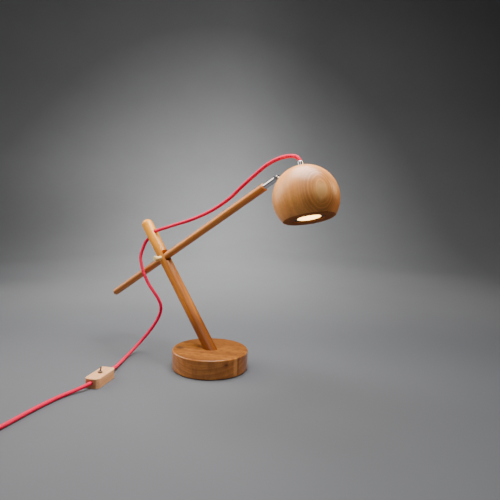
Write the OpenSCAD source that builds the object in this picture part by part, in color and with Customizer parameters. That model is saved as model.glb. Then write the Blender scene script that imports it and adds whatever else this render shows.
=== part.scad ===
// Adjustable desk lamp: a turned ball shade on a swing arm that passes through a leaning post.
// Millimetres, +Z up, +X from the base towards the shade, origin under the base on the table top.

/* [Base] */
// Diameter of the turned base
base_d = 150; // [140:1:180]
// Height of the top of the base above the table
base_h = 38; // [36:0.5:50]
// Radius of the rounded top edge
base_edge_r = 3; // [1:0.5:6]
// Radius of the rounding at the foot
base_foot_r = 1.5; // [0.5:0.5:3]
// Rim of wood left round the felt pad
felt_margin = 5; // [3:0.5:8]
// Thickness of the felt pad
felt_t = 2; // [1.5:0.1:3]
// How far the felt stands below the wood
felt_proud = 0.8; // [0.4:0.1:1.2]
// Diameter of the steel ballast disc
ballast_d = 122; // [100:1:126]
// Thickness of the ballast disc
ballast_t = 12; // [8:0.5:13]
// Radius of the circle of ballast screws
ballast_screw_pcr = 48; // [40:1:49]
// Number of ballast screws
ballast_screws_n = 3; // [3:1:6]
// Least wood left between the post's socket and the ballast
socket_floor = 1.5; // [1:0.5:3]

/* [Post] */
// Diameter of the post
post_d = 24; // [22:0.5:28]
// Length of the post from the base's top to its tip, along its axis
post_l = 313; // [300:1:360]
// Lean of the post away from the shade, degrees from upright
post_lean = 39; // [34:0.5:44]
// Height of the domed tip
post_dome_h = 8; // [3:0.5:11]
// Distance of the cord's hole from the base's top, along the post
cord_hole_s = 276; // [262:1:285]
// Diameter of the cord's hole
cord_hole_d = 10; // [9:0.5:11]
// Diameter of the screw that holds the post
post_screw_d = 5; // [4:0.5:6]
// Length of that screw above its head
post_screw_l = 42; // [35:1:60]

/* [Arm] */
// Diameter of the arm
arm_d = 15; // [13:0.5:16.5]
// Wooden length behind the pivot
arm_tail = 194; // [150:1:205]
// Wooden length in front of the pivot
arm_reach = 302; // [260:1:340]
// Angle of the arm above level as it rests
arm_angle = 31; // [25:0.5:36]
// Height of the domed tail end
arm_dome_h = 4.5; // [2:0.5:6]
// Chamfer at the arm's front end
arm_chamfer = 1.2; // [0.5:0.1:2]
// Distance of the pivot from the base's top, along the post
pivot_s = 216.5; // [200:0.5:235]
// How far the arm swings up from rest, degrees
arm_swing_up = 28; // [10:1:30]
// How far the arm swings down from rest, degrees
arm_swing_down = 12; // [4:1:14]
// Gap between the arm and each cheek of the slot
slot_side_gap = 0.3; // [0.3:0.05:0.6]
// Gap left between the arm and the slot's ends at the limits
slot_end_gap = 0.5; // [0.4:0.1:1.5]

/* [Pivot clamp] */
// Diameter of the pivot bolt
pivot_d = 5; // [4:0.5:6]
// Depth of the flats cut for the washers
spot_depth = 1; // [0.8:0.1:1.5]
// Diameter of the washers
washer_d = 10; // [9:0.5:11]
// Thickness of the washers
washer_t = 1; // [0.8:0.1:1.6]
// Diameter of the bolt's domed head
bolt_head_d = 9.5; // [8:0.5:11]
// Height of the bolt's domed head
bolt_head_h = 3; // [2:0.1:4]
// Diameter of the thumb nut's neck
nut_neck_d = 7.5; // [7:0.5:9]
// Length of the thumb nut's neck
nut_neck_l = 7; // [4:0.5:10]
// Diameter of the thumb nut's head
nut_head_d = 10.5; // [9.5:0.5:14]
// Length of the thumb nut's head
nut_head_l = 8; // [5:0.5:10]
// Grip flutes round the head
nut_flutes = 12; // [8:1:16]

/* [Knuckle] */
// Diameter of the chromed tube and knuckle
tube_d = 10.5; // [9.5:0.5:12.5]
// Distance of the knuckle's axis from the wooden end of the arm
tube_l = 31; // [26:1:40]
// Diameter of the spigot in the arm
spigot_d = 8; // [6:0.5:8.5]
// Length of the spigot in the arm
spigot_l = 22; // [15:1:30]
// Distance from the knuckle's axis to the shade's surface
neck_l = 12.5; // [10:0.5:16]
// Fall of the line from the knuckle to the shade's middle at rest, degrees below level
head_angle = 28.5; // [24:0.5:33]
// Diameter of the knuckle screw
knuckle_screw_d = 4; // [3:0.5:4.5]
// Height of the knuckle screw's head
knuckle_head_h = 2.2; // [1.5:0.1:3]
// Diameter of the threaded stem in the shade
stem_d = 8; // [6:0.5:8.5]
// Diameter of the brass insert in the shade
insert_d = 11.5; // [11:0.5:13]
// Length of the brass insert
insert_l = 16; // [10:1:18]

/* [Shade] */
// Diameter of the ball
shade_d = 114; // [110:1:126]
// Tilt of the ball's mouth, degrees from level
shade_tilt = 17.5; // [12:0.5:20]
// Turn of the ball on its stem, degrees
shade_turn = -10; // [-14:0.5:0]
// Distance of the mouth below the ball's middle
mouth_h = 36; // [34:0.5:40]
// Bevel of the mouth's edge
mouth_bevel = 1; // [0.5:0.1:2]
// Diameter of the lamp's bore
bore_d = 51.6; // [51.2:0.1:56]
// Depth of the lens above the mouth
lens_recess = 2.5; // [1.5:0.5:4]

/* [Spot lamp and holder] */
// Diameter of the spot lamp
lamp_d = 50; // [48:0.5:50.6]
// Length of the spot lamp without its pins
lamp_l = 50; // [46:0.5:52]
// Height of the spot lamp's straight rim
lamp_rim_h = 6; // [4:0.5:8]
// Diameter of the lamp's neck
lamp_neck_d = 26; // [24:0.5:30]
// Diameter of the frosted lens
lens_d = 40; // [36:0.5:45]
// Thickness of the lens
lens_t = 2; // [1.5:0.1:3]
// Distance between the two lamp pins
lamp_pin_gap = 10; // [9:0.5:11]
// Diameter of a lamp pin's head
lamp_pin_d = 5; // [4:0.1:5.2]
// Length of the lamp pins
lamp_pin_l = 6.5; // [5:0.5:8]
// Diameter of the ceramic holder
holder_d = 34; // [32:0.5:38]
// Height of the ceramic holder
holder_h = 16; // [12:0.5:18]
// Distance between the holder's screws
holder_screw_gap = 25; // [23:0.5:26]
// Diameter of the holder's screws
holder_screw_d = 3; // [2.5:0.1:3.5]

/* [Cord gland] */
// Diameter of the gland's foot
gland_foot_d = 11; // [10.5:0.5:14]
// Diameter of the gland's barrel
gland_d = 9.5; // [9.5:0.5:10]
// Height of the gland above its seat
gland_h = 9; // [6:0.5:12]
// Diameter of the gland's thread
thread_d = 9.8; // [9:0.1:10.2]
// Height of the gland's nut
gland_nut_h = 4.5; // [3:0.5:6]
// Width of the gland's nut across its corners
gland_nut_d = 15; // [13.5:0.5:17]

/* [Switch] */
// Length of the wooden switch block
switch_l = 66; // [60:1:72]
// Width of the block
switch_w = 28; // [26:0.5:32]
// Height of the block
switch_h = 18; // [18:0.5:24]
// Radius of the block's corners seen from above
switch_corner_r = 8; // [3:0.5:10]
// Radius of the block's top edges
switch_edge_r = 2.5; // [1:0.5:4]
// Wood left over the switch's cavity
switch_roof = 4; // [3:0.5:4]
// Wood left at the block's ends
switch_end_wall = 9; // [9:0.5:10]
// Wood left at the block's sides
switch_side_wall = 5; // [4.5:0.5:6]
// Thickness of the block's bottom cover
cover_t = 3; // [2:0.5:3]
// Place of the block's middle along X
switch_x = -90.5;
// Place of the block's middle along Y
switch_y = -195.5;
// Turn of the block on the table, degrees
switch_yaw = 115; // [113:0.5:117]
// Length of the toggle's case
toggle_l = 13; // [10:0.5:16]
// Width of the toggle's case
toggle_w = 8; // [7:0.5:9]
// Depth of the toggle's case
toggle_h = 9; // [7:0.5:9]
// Diameter of the toggle's threaded bushing
bushing_d = 6; // [5.5:0.1:7]
// Height of the bushing above the block
bushing_h = 3.5; // [3:0.5:5]
// Height of the toggle's nut
toggle_nut_h = 1.8; // [1.2:0.1:2.4]
// Width of the toggle's nut across its corners
toggle_nut_d = 9.2; // [8.5:0.1:11]
// Length of the lever above its pivot
lever_l = 11; // [9:0.5:16]
// Diameter of the lever at its tip
lever_d = 2.8; // [2.2:0.1:3]
// Lean of the lever each way, degrees
lever_lean = 12; // [8:0.5:14]

/* [Cord and plug] */
// Diameter of the textile cord
cord_d = 6.6; // [5.5:0.1:6.8]
// Turns of the coil of spare cord
coil_turns = 3.25; // [3.25:1:5.25]
// Inner radius of the coil, to the middle of the cord
coil_inner_r = 26.5; // [24:0.5:34]
// Gap between neighbouring turns
coil_gap = 0.6; // [0.5:0.1:1.5]
// Width of the tie round the coil
tie_w = 12; // [8:1:16]
// Thickness of the tie
tie_t = 0.8; // [0.6:0.1:1.2]
// Length of the plug's body
plug_l = 36; // [32:1:42]
// Width of the plug's body at the pins
plug_w = 27; // [26:0.5:32]
// Height of the plug's body
plug_h = 14; // [13:0.5:16]
// Length of the plug's tapered cord relief
relief_l = 26; // [20:1:40]
// Diameter of the plug's pins
plug_pin_d = 4; // [3.8:0.1:4.8]
// Length of the plug's pins
plug_pin_l = 19; // [17:0.5:20]
// Distance between the plug's pins
plug_pin_gap = 18.6; // [17:0.1:19.4]

/* [Hidden] */
$fn = 64;

// Small fits shared by the pieces
seat_gap = 0.1;
running_gap = 0.05;
eps = 0.01;
over = 1;

// Wood, metal and cord colours
oak = [0.66, 0.42, 0.18];
oak_dark = [0.58, 0.35, 0.14];
beech = [0.86, 0.70, 0.50];
chrome = [0.80, 0.81, 0.83];
brass = [0.83, 0.69, 0.36];
steel = [0.55, 0.56, 0.58];
red = [0.80, 0.07, 0.17];
black = [0.10, 0.10, 0.11];

// Base: heights of its layers and depth of the leaning socket
ballast_top = felt_t + ballast_t;
socket_drop = base_h - ballast_top - socket_floor - post_d / 2 * sin(post_lean);
post_embed = socket_drop / cos(post_lean);
screw_head_d = 2 * post_screw_d - 1;
screw_head_h = post_screw_d / 2;
screw_face_s = (base_h - ballast_top - screw_head_d / 2 * sin(post_lean)) / cos(post_lean) - 0.4;
ballast_screw_d = 4;
ballast_screw_l = 18;

// Pivot, knuckle and shade in the lamp's own plane
pivot = [-pivot_s * sin(post_lean), 0, base_h + pivot_s * cos(post_lean)];
knuckle = pivot + (arm_reach + tube_l) * [cos(arm_angle), 0, sin(arm_angle)];
shade_r = shade_d / 2;
arm_rel = arm_angle - post_lean;
swing_top = arm_rel + arm_swing_up;
swing_low = arm_rel - arm_swing_down;
slot_w = arm_d + 2 * slot_side_gap;

// Clamp stack along the pivot's axis
spot_y = post_d / 2 - spot_depth;
clamp_y = spot_y + washer_t;
nut_end_y = clamp_y + nut_neck_l + nut_head_l;
nut_cap = 2;

// Knuckle halves
half_gap = 0.1;
knuckle_r = tube_d / 2;
shoulder = knuckle_r + 0.5;
screw_face = knuckle_r - 1;
knuckle_head_d = knuckle_screw_d + 3;
seat_depth = 0.6;
seat_d = insert_d + 2 * seat_gap;

// Shade's inside, from the mouth up
lens_z = lens_recess - mouth_h;
holder_z = lens_z + lamp_l;
holder_top = holder_z + holder_h;
holder_bore_d = holder_d + 2;
bore_top = holder_z - 4;
nut_recess_h = gland_nut_h + 2;
nut_top = holder_top + nut_recess_h;
mouth_r = sqrt(shade_r * shade_r - mouth_h * mouth_h);
gland_seat_z = sqrt(shade_r * shade_r - gland_foot_d * gland_foot_d / 4) - 0.2;
gland_bore_d = cord_d + 0.8;
gland_foot_h = 1.6;

// Switch block
cavity_top = switch_h - switch_roof;
cavity_l = switch_l - 2 * switch_end_wall;
cavity_w = switch_w - 2 * switch_side_wall;
cover_l = cavity_l + 8;
cover_w = cavity_w + 4;
cover_screw_x = cover_l / 2 - 3;
lever_z = switch_h + bushing_h - 2;
lever_ball_d = 3.6;
bushing_bore_d = 4.6;

// Cord: hand-chosen points from the gland, through the post, to the switch
lamp_route = [
    [191.6, 7.4, 402.2], [190.2, 7.9, 406.5], [187.5, 8, 410.5], [183.7, 7.6, 413.4], [179, 7, 415],
    [172.5, 6.5, 415.5], [165, 5.5, 415], [156.5, 4.5, 413.5], [147, 3.5, 410.5], [133, 2, 404.5],
    [115, 0.5, 393.5], [72, 0, 362], [41, 0, 338], [-1, 0, 314], [-54, 0, 293], [-108, 0, 277],
    [-135, 0, 269], [-152, 0, 264], [-163.5, 0, 259.8], [-173.5, 0, 252.5], [-183, 0, 245],
    [-192, -2, 235.5], [-197.7, -5, 222], [-199.8, -10.2, 203], [-195, -12.4, 187], [-186.5, -13.2, 169.5],
    [-172.2, -12.4, 147.6], [-156.8, -10, 130.8], [-145.4, -6.5, 115.4], [-141, -4, 100], [-144.5, -5, 81],
    [-155.5, -14, 55], [-169.8, -32.5, 25.8], [-171, -55.6, 9.6], [-162.5, -77.3, 4.2], [-143, -107, 4],
    [-124.5, -133.5, 5.2], [-112.8, -149.5, 8.4], [-107.4, -159, 9.8], [-104.4, -165.6, 10], [-101.5, -171.9, 10],
];
span_start = 12;
drop_start = 19;
cord_z = lamp_route[len(lamp_route) - 1][2];
// Cord: hand-chosen points from the switch to the coil, and from the coil to the plug
lead_route = [
    [-79.5, -219.1, 10], [-76.6, -225.4, 10], [-75.6, -234, 9.2], [-76.8, -244, 7.2], [-78.2, -255, 5.2],
    [-78.6, -266, 4.2], [-77.4, -281, 3.7], [-74, -300, 3.6], [-62, -342, 3.6], [-45, -392, 3.6],
    [-37.5, -415, 3.9], [-32, -432.6, 4.4],
];
cord_sides = 10;
route_steps = 2;

// Coil of spare cord: spirals in on the table and out again one layer up
coil_c = [-65, -452];
coil_start_a = 20;
coil_sides = 6;
coil_rings = 24;
coil_pitch = cord_d + coil_gap;
coil_back = 1.5;
coil_low_z = cord_d / 2 + tie_t + 0.3;
tie_a = 150;
tie_gap = 1.2;

// Plug: straight on from the coil's free end, lying on the table
plug_c = [-84, -503];
plug_yaw = 200;
relief_tip_d = cord_d + 2;
relief_root_d = plug_h - 3;
plug_pin_root = 10;

// Cord geometry
function route_at(p, i) = i < 0 ? 2 * p[0] - p[1]
    : i >= len(p) ? 2 * p[len(p) - 1] - p[len(p) - 2]
    : p[i];
function curve(a, b, c, d, t) =
    0.5 * (2 * b + (c - a) * t + (2 * a - 5 * b + 4 * c - d) * t ^ 2 + (3 * b - a - 3 * c + d) * t ^ 3);
function curve_dir(a, b, c, d, t) =
    0.5 * (c - a + 2 * (2 * a - 5 * b + 4 * c - d) * t + 3 * (3 * b - a - 3 * c + d) * t ^ 2);
function unit(v) = v / norm(v);
function ring_at(p, i, t) = [
    curve(route_at(p, i - 1), route_at(p, i), route_at(p, i + 1), route_at(p, i + 2), t),
    unit(curve_dir(route_at(p, i - 1), route_at(p, i), route_at(p, i + 1), route_at(p, i + 2), t)),
];
function stretch(p, first, last) = [
    for (i = [first:last - 1]) for (k = [0:route_steps - 1]) ring_at(p, i, k / route_steps),
    ring_at(p, last - 1, 1),
];
function ease(t) = t <= 0 ? 0 : t >= 1 ? 1 : t * t * (3 - 2 * t);
function coil_at(t) = let (
    a = coil_start_a - 360 * t,
    r = coil_inner_r + coil_pitch * abs(t - coil_back),
    z = coil_low_z + coil_pitch * ease((t - coil_back + 0.25) / 0.5)
) [coil_c[0] + r * cos(a), coil_c[1] + r * sin(a), z];
function coil_ring(t) = [coil_at(t), unit(coil_at(t + 0.002) - coil_at(t - 0.002))];
coil_steps = round(coil_turns * coil_rings);
coil_path = [for (i = [0:coil_steps]) coil_ring(i / coil_rings)];
lead_rings = stretch(lead_route, 0, len(lead_route) - 1);
lead_path = concat(lead_rings, [coil_path[0]]);
coil_exit = coil_path[coil_steps];
plug_dir = [cos(plug_yaw), sin(plug_yaw), 0];
plug_start = [plug_c[0], plug_c[1], plug_h / 2];
end_route = [
    coil_exit[0],
    coil_exit[0] + 2 * cord_d * coil_exit[1],
    plug_start - 2 * cord_d * plug_dir,
    plug_start,
];
end_rings = stretch(end_route, 0, 3);
end_path = concat([coil_exit], [for (i = [1:len(end_rings) - 2]) end_rings[i]], [[plug_start, plug_dir]]);
function run_length(path) = len(path) < 2 ? 0
    : [for (i = 1, s = norm(path[1][0] - path[0][0]); i < len(path);
        i = i + 1, s = i < len(path) ? s + norm(path[i][0] - path[i - 1][0]) : s) s][len(path) - 2];
coil_self_gap = min([
    for (i = [0:coil_steps]) for (j = [i + coil_rings / 2:coil_steps])
        norm(coil_path[i][0] - coil_path[j][0])
]) - cord_d;
head_path = stretch(lamp_route, 0, span_start);
span_path = stretch(lamp_route, span_start, drop_start);
drop_path = stretch(lamp_route, drop_start, len(lamp_route) - 1);
echo(str("least gap of the coil to itself, mm: ", coil_self_gap));
echo(str("cord lengths, mm: ", [for (p = [head_path, span_path, drop_path, lead_path, coil_path, end_path])
    run_length(p)]));

// Places
module at_post() {
    translate([0, 0, base_h]) rotate([0, -post_lean, 0]) children();
}

module at_pivot() {
    at_post() translate([0, 0, pivot_s]) children();
}

module at_arm() {
    translate(pivot) rotate([0, -arm_angle, 0]) children();
}

module at_link() {
    translate(knuckle) rotate([0, head_angle, 0]) children();
}

module at_shade() {
    at_link() rotate([shade_turn, 0, 0]) translate([neck_l + shade_r, 0, 0])
        rotate([0, -head_angle - shade_tilt, 0]) children();
}

module at_switch() {
    translate([switch_x, switch_y, 0]) rotate([0, 0, switch_yaw]) children();
}

module at_plug() {
    translate(plug_start) rotate([0, 0, plug_yaw]) children();
}

module along_x() {
    rotate([0, 90, 0]) children();
}

module along_y() {
    rotate([-90, 0, 0]) children();
}

// Shared shapes
function arc(c, r, from, to, n = 8) = [
    for (i = [0:n]) c + r * [cos(from + (to - from) * i / n), sin(from + (to - from) * i / n)]
];
function rounded_rect(l, w, r) = concat(
    arc([l / 2 - r, w / 2 - r], r, 0, 90), arc([r - l / 2, w / 2 - r], r, 90, 180),
    arc([r - l / 2, r - w / 2], r, 180, 270), arc([l / 2 - r, r - w / 2], r, 270, 360)
);
function rounded_top(l, h, r) = concat(
    [[-l / 2, 0], [l / 2, 0]], arc([l / 2 - r, h - r], r, 0, 90), arc([r - l / 2, h - r], r, 90, 180)
);

module bevelled_rod(d, l, bevel) {
    rotate_extrude() polygon([[0, 0], [d / 2 - bevel, 0], [d / 2, bevel], [d / 2, l], [0, l]]);
}

// A round rod with a bevelled foot and a domed tip
module domed_rod(d, l, bevel, dome_h) {
    dome_r = (d * d / 4 + dome_h * dome_h) / (2 * dome_h);
    difference() {
        bevelled_rod(d, l, bevel);
        difference() {
            translate([0, 0, l - dome_h]) cylinder(d = d + 2 * over, h = dome_h + over);
            translate([0, 0, l - dome_r]) sphere(r = dome_r);
        }
    }
}

// A block rounded at its corners and round its top edges
module soft_block(l, w, h, corner_r, edge_r) {
    intersection() {
        linear_extrude(h) polygon(rounded_rect(l, w, corner_r));
        translate([0, w, 0]) rotate([90, 0, 0]) linear_extrude(2 * w) polygon(rounded_top(l, h, edge_r));
        translate([-l, 0, 0]) rotate([90, 0, 90]) linear_extrude(2 * l) polygon(rounded_top(w, h, edge_r));
    }
}

// A countersunk wood screw pointing up from its face, with a tapered tip
module wood_screw(d, head_d, head_h, l) {
    tip = 1.5 * d;
    rotate_extrude() polygon([
        [0, 0], [head_d / 2, 0], [d / 2, head_h], [d / 2, l - tip], [0.2, l], [0, l],
    ]);
}

// The hole that such a screw sits in
module screw_hole(d, head_d, head_h, l, deep) {
    translate([0, 0, -deep]) cylinder(d = head_d + 2 * seat_gap, h = deep);
    cylinder(d1 = head_d + 2 * seat_gap, d2 = d + 2 * seat_gap, h = head_h);
    cylinder(d = d + 2 * seat_gap, h = l + seat_gap);
}

// One half of the knuckle: a flat tongue on the +Y side, its rod running towards -X
module tongue() {
    difference() {
        intersection() {
            translate([-shoulder - over, 0, 0]) along_x() cylinder(d = tube_d, h = shoulder + over + knuckle_r);
            translate([-tube_d, half_gap, -tube_d]) cube([2 * tube_d, tube_d, 2 * tube_d]);
        }
        difference() {
            translate([0, -over, -tube_d]) cube([tube_d, tube_d, 2 * tube_d]);
            translate([0, -2 * over, 0]) along_y() cylinder(r = knuckle_r, h = tube_d + 2 * over);
        }
    }
}

// A round tube swept along rings of a place and a direction
module swept_tube(path, d, sides, across) {
    last = len(path) - 1;
    points = [
        for (ring = path) let (u = unit(cross(across, ring[1])), v = cross(ring[1], u))
            for (k = [0:sides - 1]) ring[0] + d / 2 * (u * cos(360 * k / sides) + v * sin(360 * k / sides)),
    ];
    walls = [
        for (i = [0:last - 1]) for (k = [0:sides - 1]) let (
            a = i * sides + k, b = i * sides + (k + 1) % sides, c = a + sides, e = b + sides
        ) each [[a, c, b], [b, c, e]],
    ];
    caps = [
        for (k = [1:sides - 2]) each [[0, k, k + 1], [last * sides, last * sides + k + 1, last * sides + k]],
    ];
    polyhedron(points = points, faces = concat(walls, caps));
}

// Base and its weight
module base() {
    color(oak) difference() {
        rotate_extrude() polygon(concat(
            [[0, felt_proud]],
            arc([base_d / 2 - base_foot_r, felt_proud + base_foot_r], base_foot_r, 270, 360),
            arc([base_d / 2 - base_edge_r, base_h - base_edge_r], base_edge_r, 0, 90),
            [[0, base_h]]
        ));
        cylinder(d = base_d - 2 * felt_margin + 2 * seat_gap, h = felt_t);
        cylinder(d = ballast_d + 2 * seat_gap, h = ballast_top);
        at_post() translate([0, 0, -post_embed]) cylinder(d = post_d + 2 * seat_gap, h = post_embed + post_d);
        at_post() translate([0, 0, -screw_face_s])
            screw_hole(post_screw_d, screw_head_d, screw_head_h, post_screw_l, 3 * post_screw_d);
        ballast_screw_places() screw_hole(ballast_screw_d, 2 * ballast_screw_d, ballast_screw_d / 2,
            ballast_screw_l, seat_gap);
    }
}

module ballast_screw_places() {
    for (i = [0:ballast_screws_n - 1])
        rotate([0, 0, 180 + 360 * i / ballast_screws_n]) translate([ballast_screw_pcr, 0, felt_t + 0.2]) children();
}

module felt_pad() {
    color(black) cylinder(d = base_d - 2 * felt_margin, h = felt_t);
}

module ballast_disc() {
    color(steel) difference() {
        translate([0, 0, felt_t]) cylinder(d = ballast_d, h = ballast_t);
        ballast_screw_places() screw_hole(ballast_screw_d, 2 * ballast_screw_d, ballast_screw_d / 2,
            ballast_screw_l, over);
    }
}

module ballast_screws() {
    color(steel) ballast_screw_places()
        wood_screw(ballast_screw_d, 2 * ballast_screw_d, ballast_screw_d / 2, ballast_screw_l);
}

// Post
function slot_z(x, a, side) = x * tan(a) + side * (arm_d / 2 + slot_end_gap) / cos(a);

// The opening that the arm sweeps as it swings, wider at both mouths
module arm_slot() {
    reach = post_d / 2 + over;
    waist = (arm_d / 2 + slot_end_gap) / min(cos(swing_top), cos(swing_low));
    translate([0, slot_w / 2, 0]) rotate([90, 0, 0]) linear_extrude(slot_w) polygon([
        [reach, slot_z(reach, swing_top, 1)], [0, waist], [-reach, slot_z(-reach, swing_low, 1)],
        [-reach, slot_z(-reach, swing_top, -1)], [0, -waist], [reach, slot_z(reach, swing_low, -1)],
    ]);
}

module post() {
    color(oak) difference() {
        at_post() translate([0, 0, -post_embed]) domed_rod(post_d, post_l + post_embed, over, post_dome_h);
        at_pivot() arm_slot();
        at_pivot() translate([0, -post_d, 0]) along_y() cylinder(d = pivot_d + 2 * seat_gap, h = 2 * post_d);
        for (side = [-1, 1])
            at_pivot() translate([0, side * (spot_y + post_d / 2), 0]) along_y()
                cylinder(d = washer_d + 1, h = post_d, center = true);
        at_post() translate([-post_d, 0, cord_hole_s]) along_x() cylinder(d = cord_hole_d, h = 2 * post_d);
        at_post() translate([0, 0, -screw_face_s])
            screw_hole(post_screw_d, screw_head_d, screw_head_h, post_screw_l, seat_gap);
    }
}

module post_screw() {
    color(steel) at_post() translate([0, 0, -screw_face_s])
        wood_screw(post_screw_d, screw_head_d, screw_head_h, post_screw_l);
}

// Pivot clamp: bolt, washers and thumb nut
module pivot_bolt() {
    dome_r = (bolt_head_d * bolt_head_d / 4 + bolt_head_h * bolt_head_h) / (2 * bolt_head_h);
    color(brass) at_pivot() {
        translate([0, nut_cap - nut_end_y + seat_gap, 0]) along_y()
            cylinder(d = pivot_d, h = nut_end_y + clamp_y + over - nut_cap - seat_gap);
        translate([0, clamp_y, 0]) along_y() intersection() {
            cylinder(d = bolt_head_d, h = bolt_head_h);
            translate([0, 0, bolt_head_h - dome_r]) sphere(r = dome_r);
        }
    }
}

module pivot_washers() {
    color(brass) at_pivot() for (side = [-1, 1])
        translate([0, side * (spot_y + washer_t / 2), 0]) along_y() difference() {
            cylinder(d = washer_d, h = washer_t, center = true);
            cylinder(d = pivot_d + 2 * seat_gap, h = washer_t + over, center = true);
        }
}

module clamp_nut() {
    flute_d = 1.6;
    color(brass) at_pivot() rotate([90, 0, 0]) difference() {
        rotate_extrude() polygon([
            [0, clamp_y + seat_gap], [nut_neck_d / 2, clamp_y + seat_gap],
            [nut_neck_d / 2, clamp_y + nut_neck_l], [nut_head_d / 2, clamp_y + nut_neck_l + 1],
            [nut_head_d / 2, nut_end_y - 1], [nut_head_d / 2 - 1, nut_end_y], [0, nut_end_y],
        ]);
        cylinder(d = pivot_d + 2 * running_gap, h = nut_end_y - nut_cap);
        for (i = [0:nut_flutes - 1])
            rotate([0, 0, 360 * i / nut_flutes]) translate([nut_head_d / 2 + 0.2, 0, clamp_y + nut_neck_l])
                cylinder(d = flute_d, h = nut_head_l + over, $fn = 16);
    }
}

// Arm and knuckle
module arm() {
    color(oak) at_arm() difference() {
        translate([arm_reach, 0, 0]) rotate([0, -90, 0])
            domed_rod(arm_d, arm_tail + arm_reach, arm_chamfer, arm_dome_h);
        translate([0, -arm_d, 0]) along_y() cylinder(d = pivot_d + 2 * running_gap, h = 2 * arm_d);
        translate([arm_reach - spigot_l - over, 0, 0]) along_x()
            cylinder(d = spigot_d + 2 * seat_gap, h = spigot_l + 2 * over);
    }
}

module arm_tube() {
    color(chrome) at_arm() difference() {
        union() {
            translate([arm_reach - spigot_l, 0, 0]) along_x() cylinder(d = spigot_d, h = spigot_l + over);
            translate([arm_reach, 0, 0]) along_x() cylinder(d = tube_d, h = tube_l - shoulder);
            translate([arm_reach + tube_l, 0, 0]) mirror([0, 1, 0]) tongue();
        }
        translate([arm_reach + tube_l, -tube_d, 0]) along_y()
            cylinder(d = knuckle_screw_d + 2 * running_gap, h = 2 * tube_d);
        translate([arm_reach + tube_l, -tube_d, 0]) along_y()
            cylinder(d = knuckle_head_d + 0.6, h = tube_d - screw_face);
    }
}

module head_link() {
    color(chrome) at_link() difference() {
        union() {
            mirror([1, 0, 0]) tongue();
            translate([shoulder, 0, 0]) along_x() cylinder(d = tube_d, h = neck_l + seat_depth - shoulder);
            translate([neck_l, 0, 0]) along_x() cylinder(d = stem_d, h = seat_depth + insert_l);
        }
        translate([0, -tube_d, 0]) along_y() cylinder(d = knuckle_screw_d + 2 * running_gap, h = 2 * tube_d);
    }
}

module knuckle_screw() {
    color(chrome) translate(knuckle) difference() {
        union() {
            translate([0, -screw_face - over, 0]) along_y() cylinder(d = knuckle_screw_d, h = 2 * screw_face + over);
            translate([0, -screw_face - knuckle_head_h, 0]) along_y()
                cylinder(d = knuckle_head_d, h = knuckle_head_h - seat_gap);
        }
        translate([-tube_d, -screw_face - knuckle_head_h - over, -0.5]) cube([2 * tube_d, over + 1, 1]);
    }
}

module stem_insert() {
    color(brass) at_link() translate([neck_l + seat_depth, 0, 0]) along_x() difference() {
        cylinder(d = insert_d, h = insert_l);
        translate([0, 0, -over]) cylinder(d = stem_d + 2 * seat_gap, h = insert_l + 2 * over);
    }
}

// Shade and what it holds
module shade() {
    color(oak_dark) difference() {
        at_shade() difference() {
            sphere(d = shade_d, $fn = 128);
            translate([-shade_d, -shade_d, -mouth_h - 2 * shade_d]) cube(2 * shade_d);
            mouth_edge();
            translate([0, 0, -mouth_h - over]) cylinder(d = bore_d, h = mouth_h + over + bore_top);
            translate([0, 0, -mouth_h - eps]) cylinder(d1 = bore_d + 2, d2 = bore_d, h = 1);
            cylinder(d = holder_bore_d, h = holder_top);
            cylinder(d = gland_nut_d + 2, h = nut_top);
            cylinder(d = thread_d + 2 * seat_gap, h = shade_d);
            translate([0, 0, gland_seat_z]) cylinder(d = gland_foot_d + 2 * seat_gap, h = shade_d);
            holder_screw_places() cylinder(d = holder_screw_d + 2 * seat_gap, h = holder_screw_l + seat_gap);
        }
        at_link() translate([neck_l - shade_r, 0, 0]) along_x()
            cylinder(d = seat_d, h = shade_r + seat_depth + insert_l + seat_gap);
    }
}

module mouth_edge() {
    far_r = sqrt(shade_r ^ 2 - (mouth_h - mouth_bevel) ^ 2);
    rotate_extrude() polygon([
        [mouth_r - mouth_bevel, -mouth_h], [far_r, mouth_bevel - mouth_h], [shade_r, mouth_bevel - mouth_h],
        [shade_r, -mouth_h - over], [mouth_r - mouth_bevel, -mouth_h - over],
    ]);
}

module spot_lamp() {
    rim_r = lamp_d / 2;
    neck_r = lamp_neck_d / 2;
    bell_h = lamp_l - lamp_rim_h - 10;
    bell = [
        for (i = [0:12]) let (t = i / 12)
            [neck_r + (rim_r - neck_r) * (1 - t ^ 1.5), lens_z + lamp_rim_h + bell_h * t]
    ];
    color(black) at_shade() difference() {
        rotate_extrude() polygon(concat(
            [[0, lens_z + lens_t], [lens_d / 2 + seat_gap, lens_z + lens_t], [lens_d / 2 + seat_gap, lens_z - 0.5],
                [rim_r - 0.6, lens_z - 0.5], [rim_r, lens_z + 0.1]],
            bell,
            [[neck_r, holder_z], [0, holder_z]]
        ));
        lamp_pin_places() translate([0, 0, -2]) cylinder(d = lamp_pin_d - 2, h = 4);
    }
}

module lamp_lens() {
    color("lightyellow") at_shade() translate([0, 0, lens_z]) cylinder(d = lens_d, h = lens_t);
}

module lamp_pin_places() {
    for (side = [-1, 1]) translate([0, side * lamp_pin_gap / 2, holder_z]) children();
}

module lamp_pins() {
    color(steel) at_shade() lamp_pin_places() {
        translate([0, 0, -2]) cylinder(d = lamp_pin_d - 2.2, h = lamp_pin_l);
        translate([0, 0, lamp_pin_l - 3]) cylinder(d = lamp_pin_d, h = 3);
    }
}

holder_screw_l = holder_h + 10;

module holder_screw_places() {
    for (side = [-1, 1]) translate([side * holder_screw_gap / 2, 0, holder_z + 0.5]) children();
}

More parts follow.
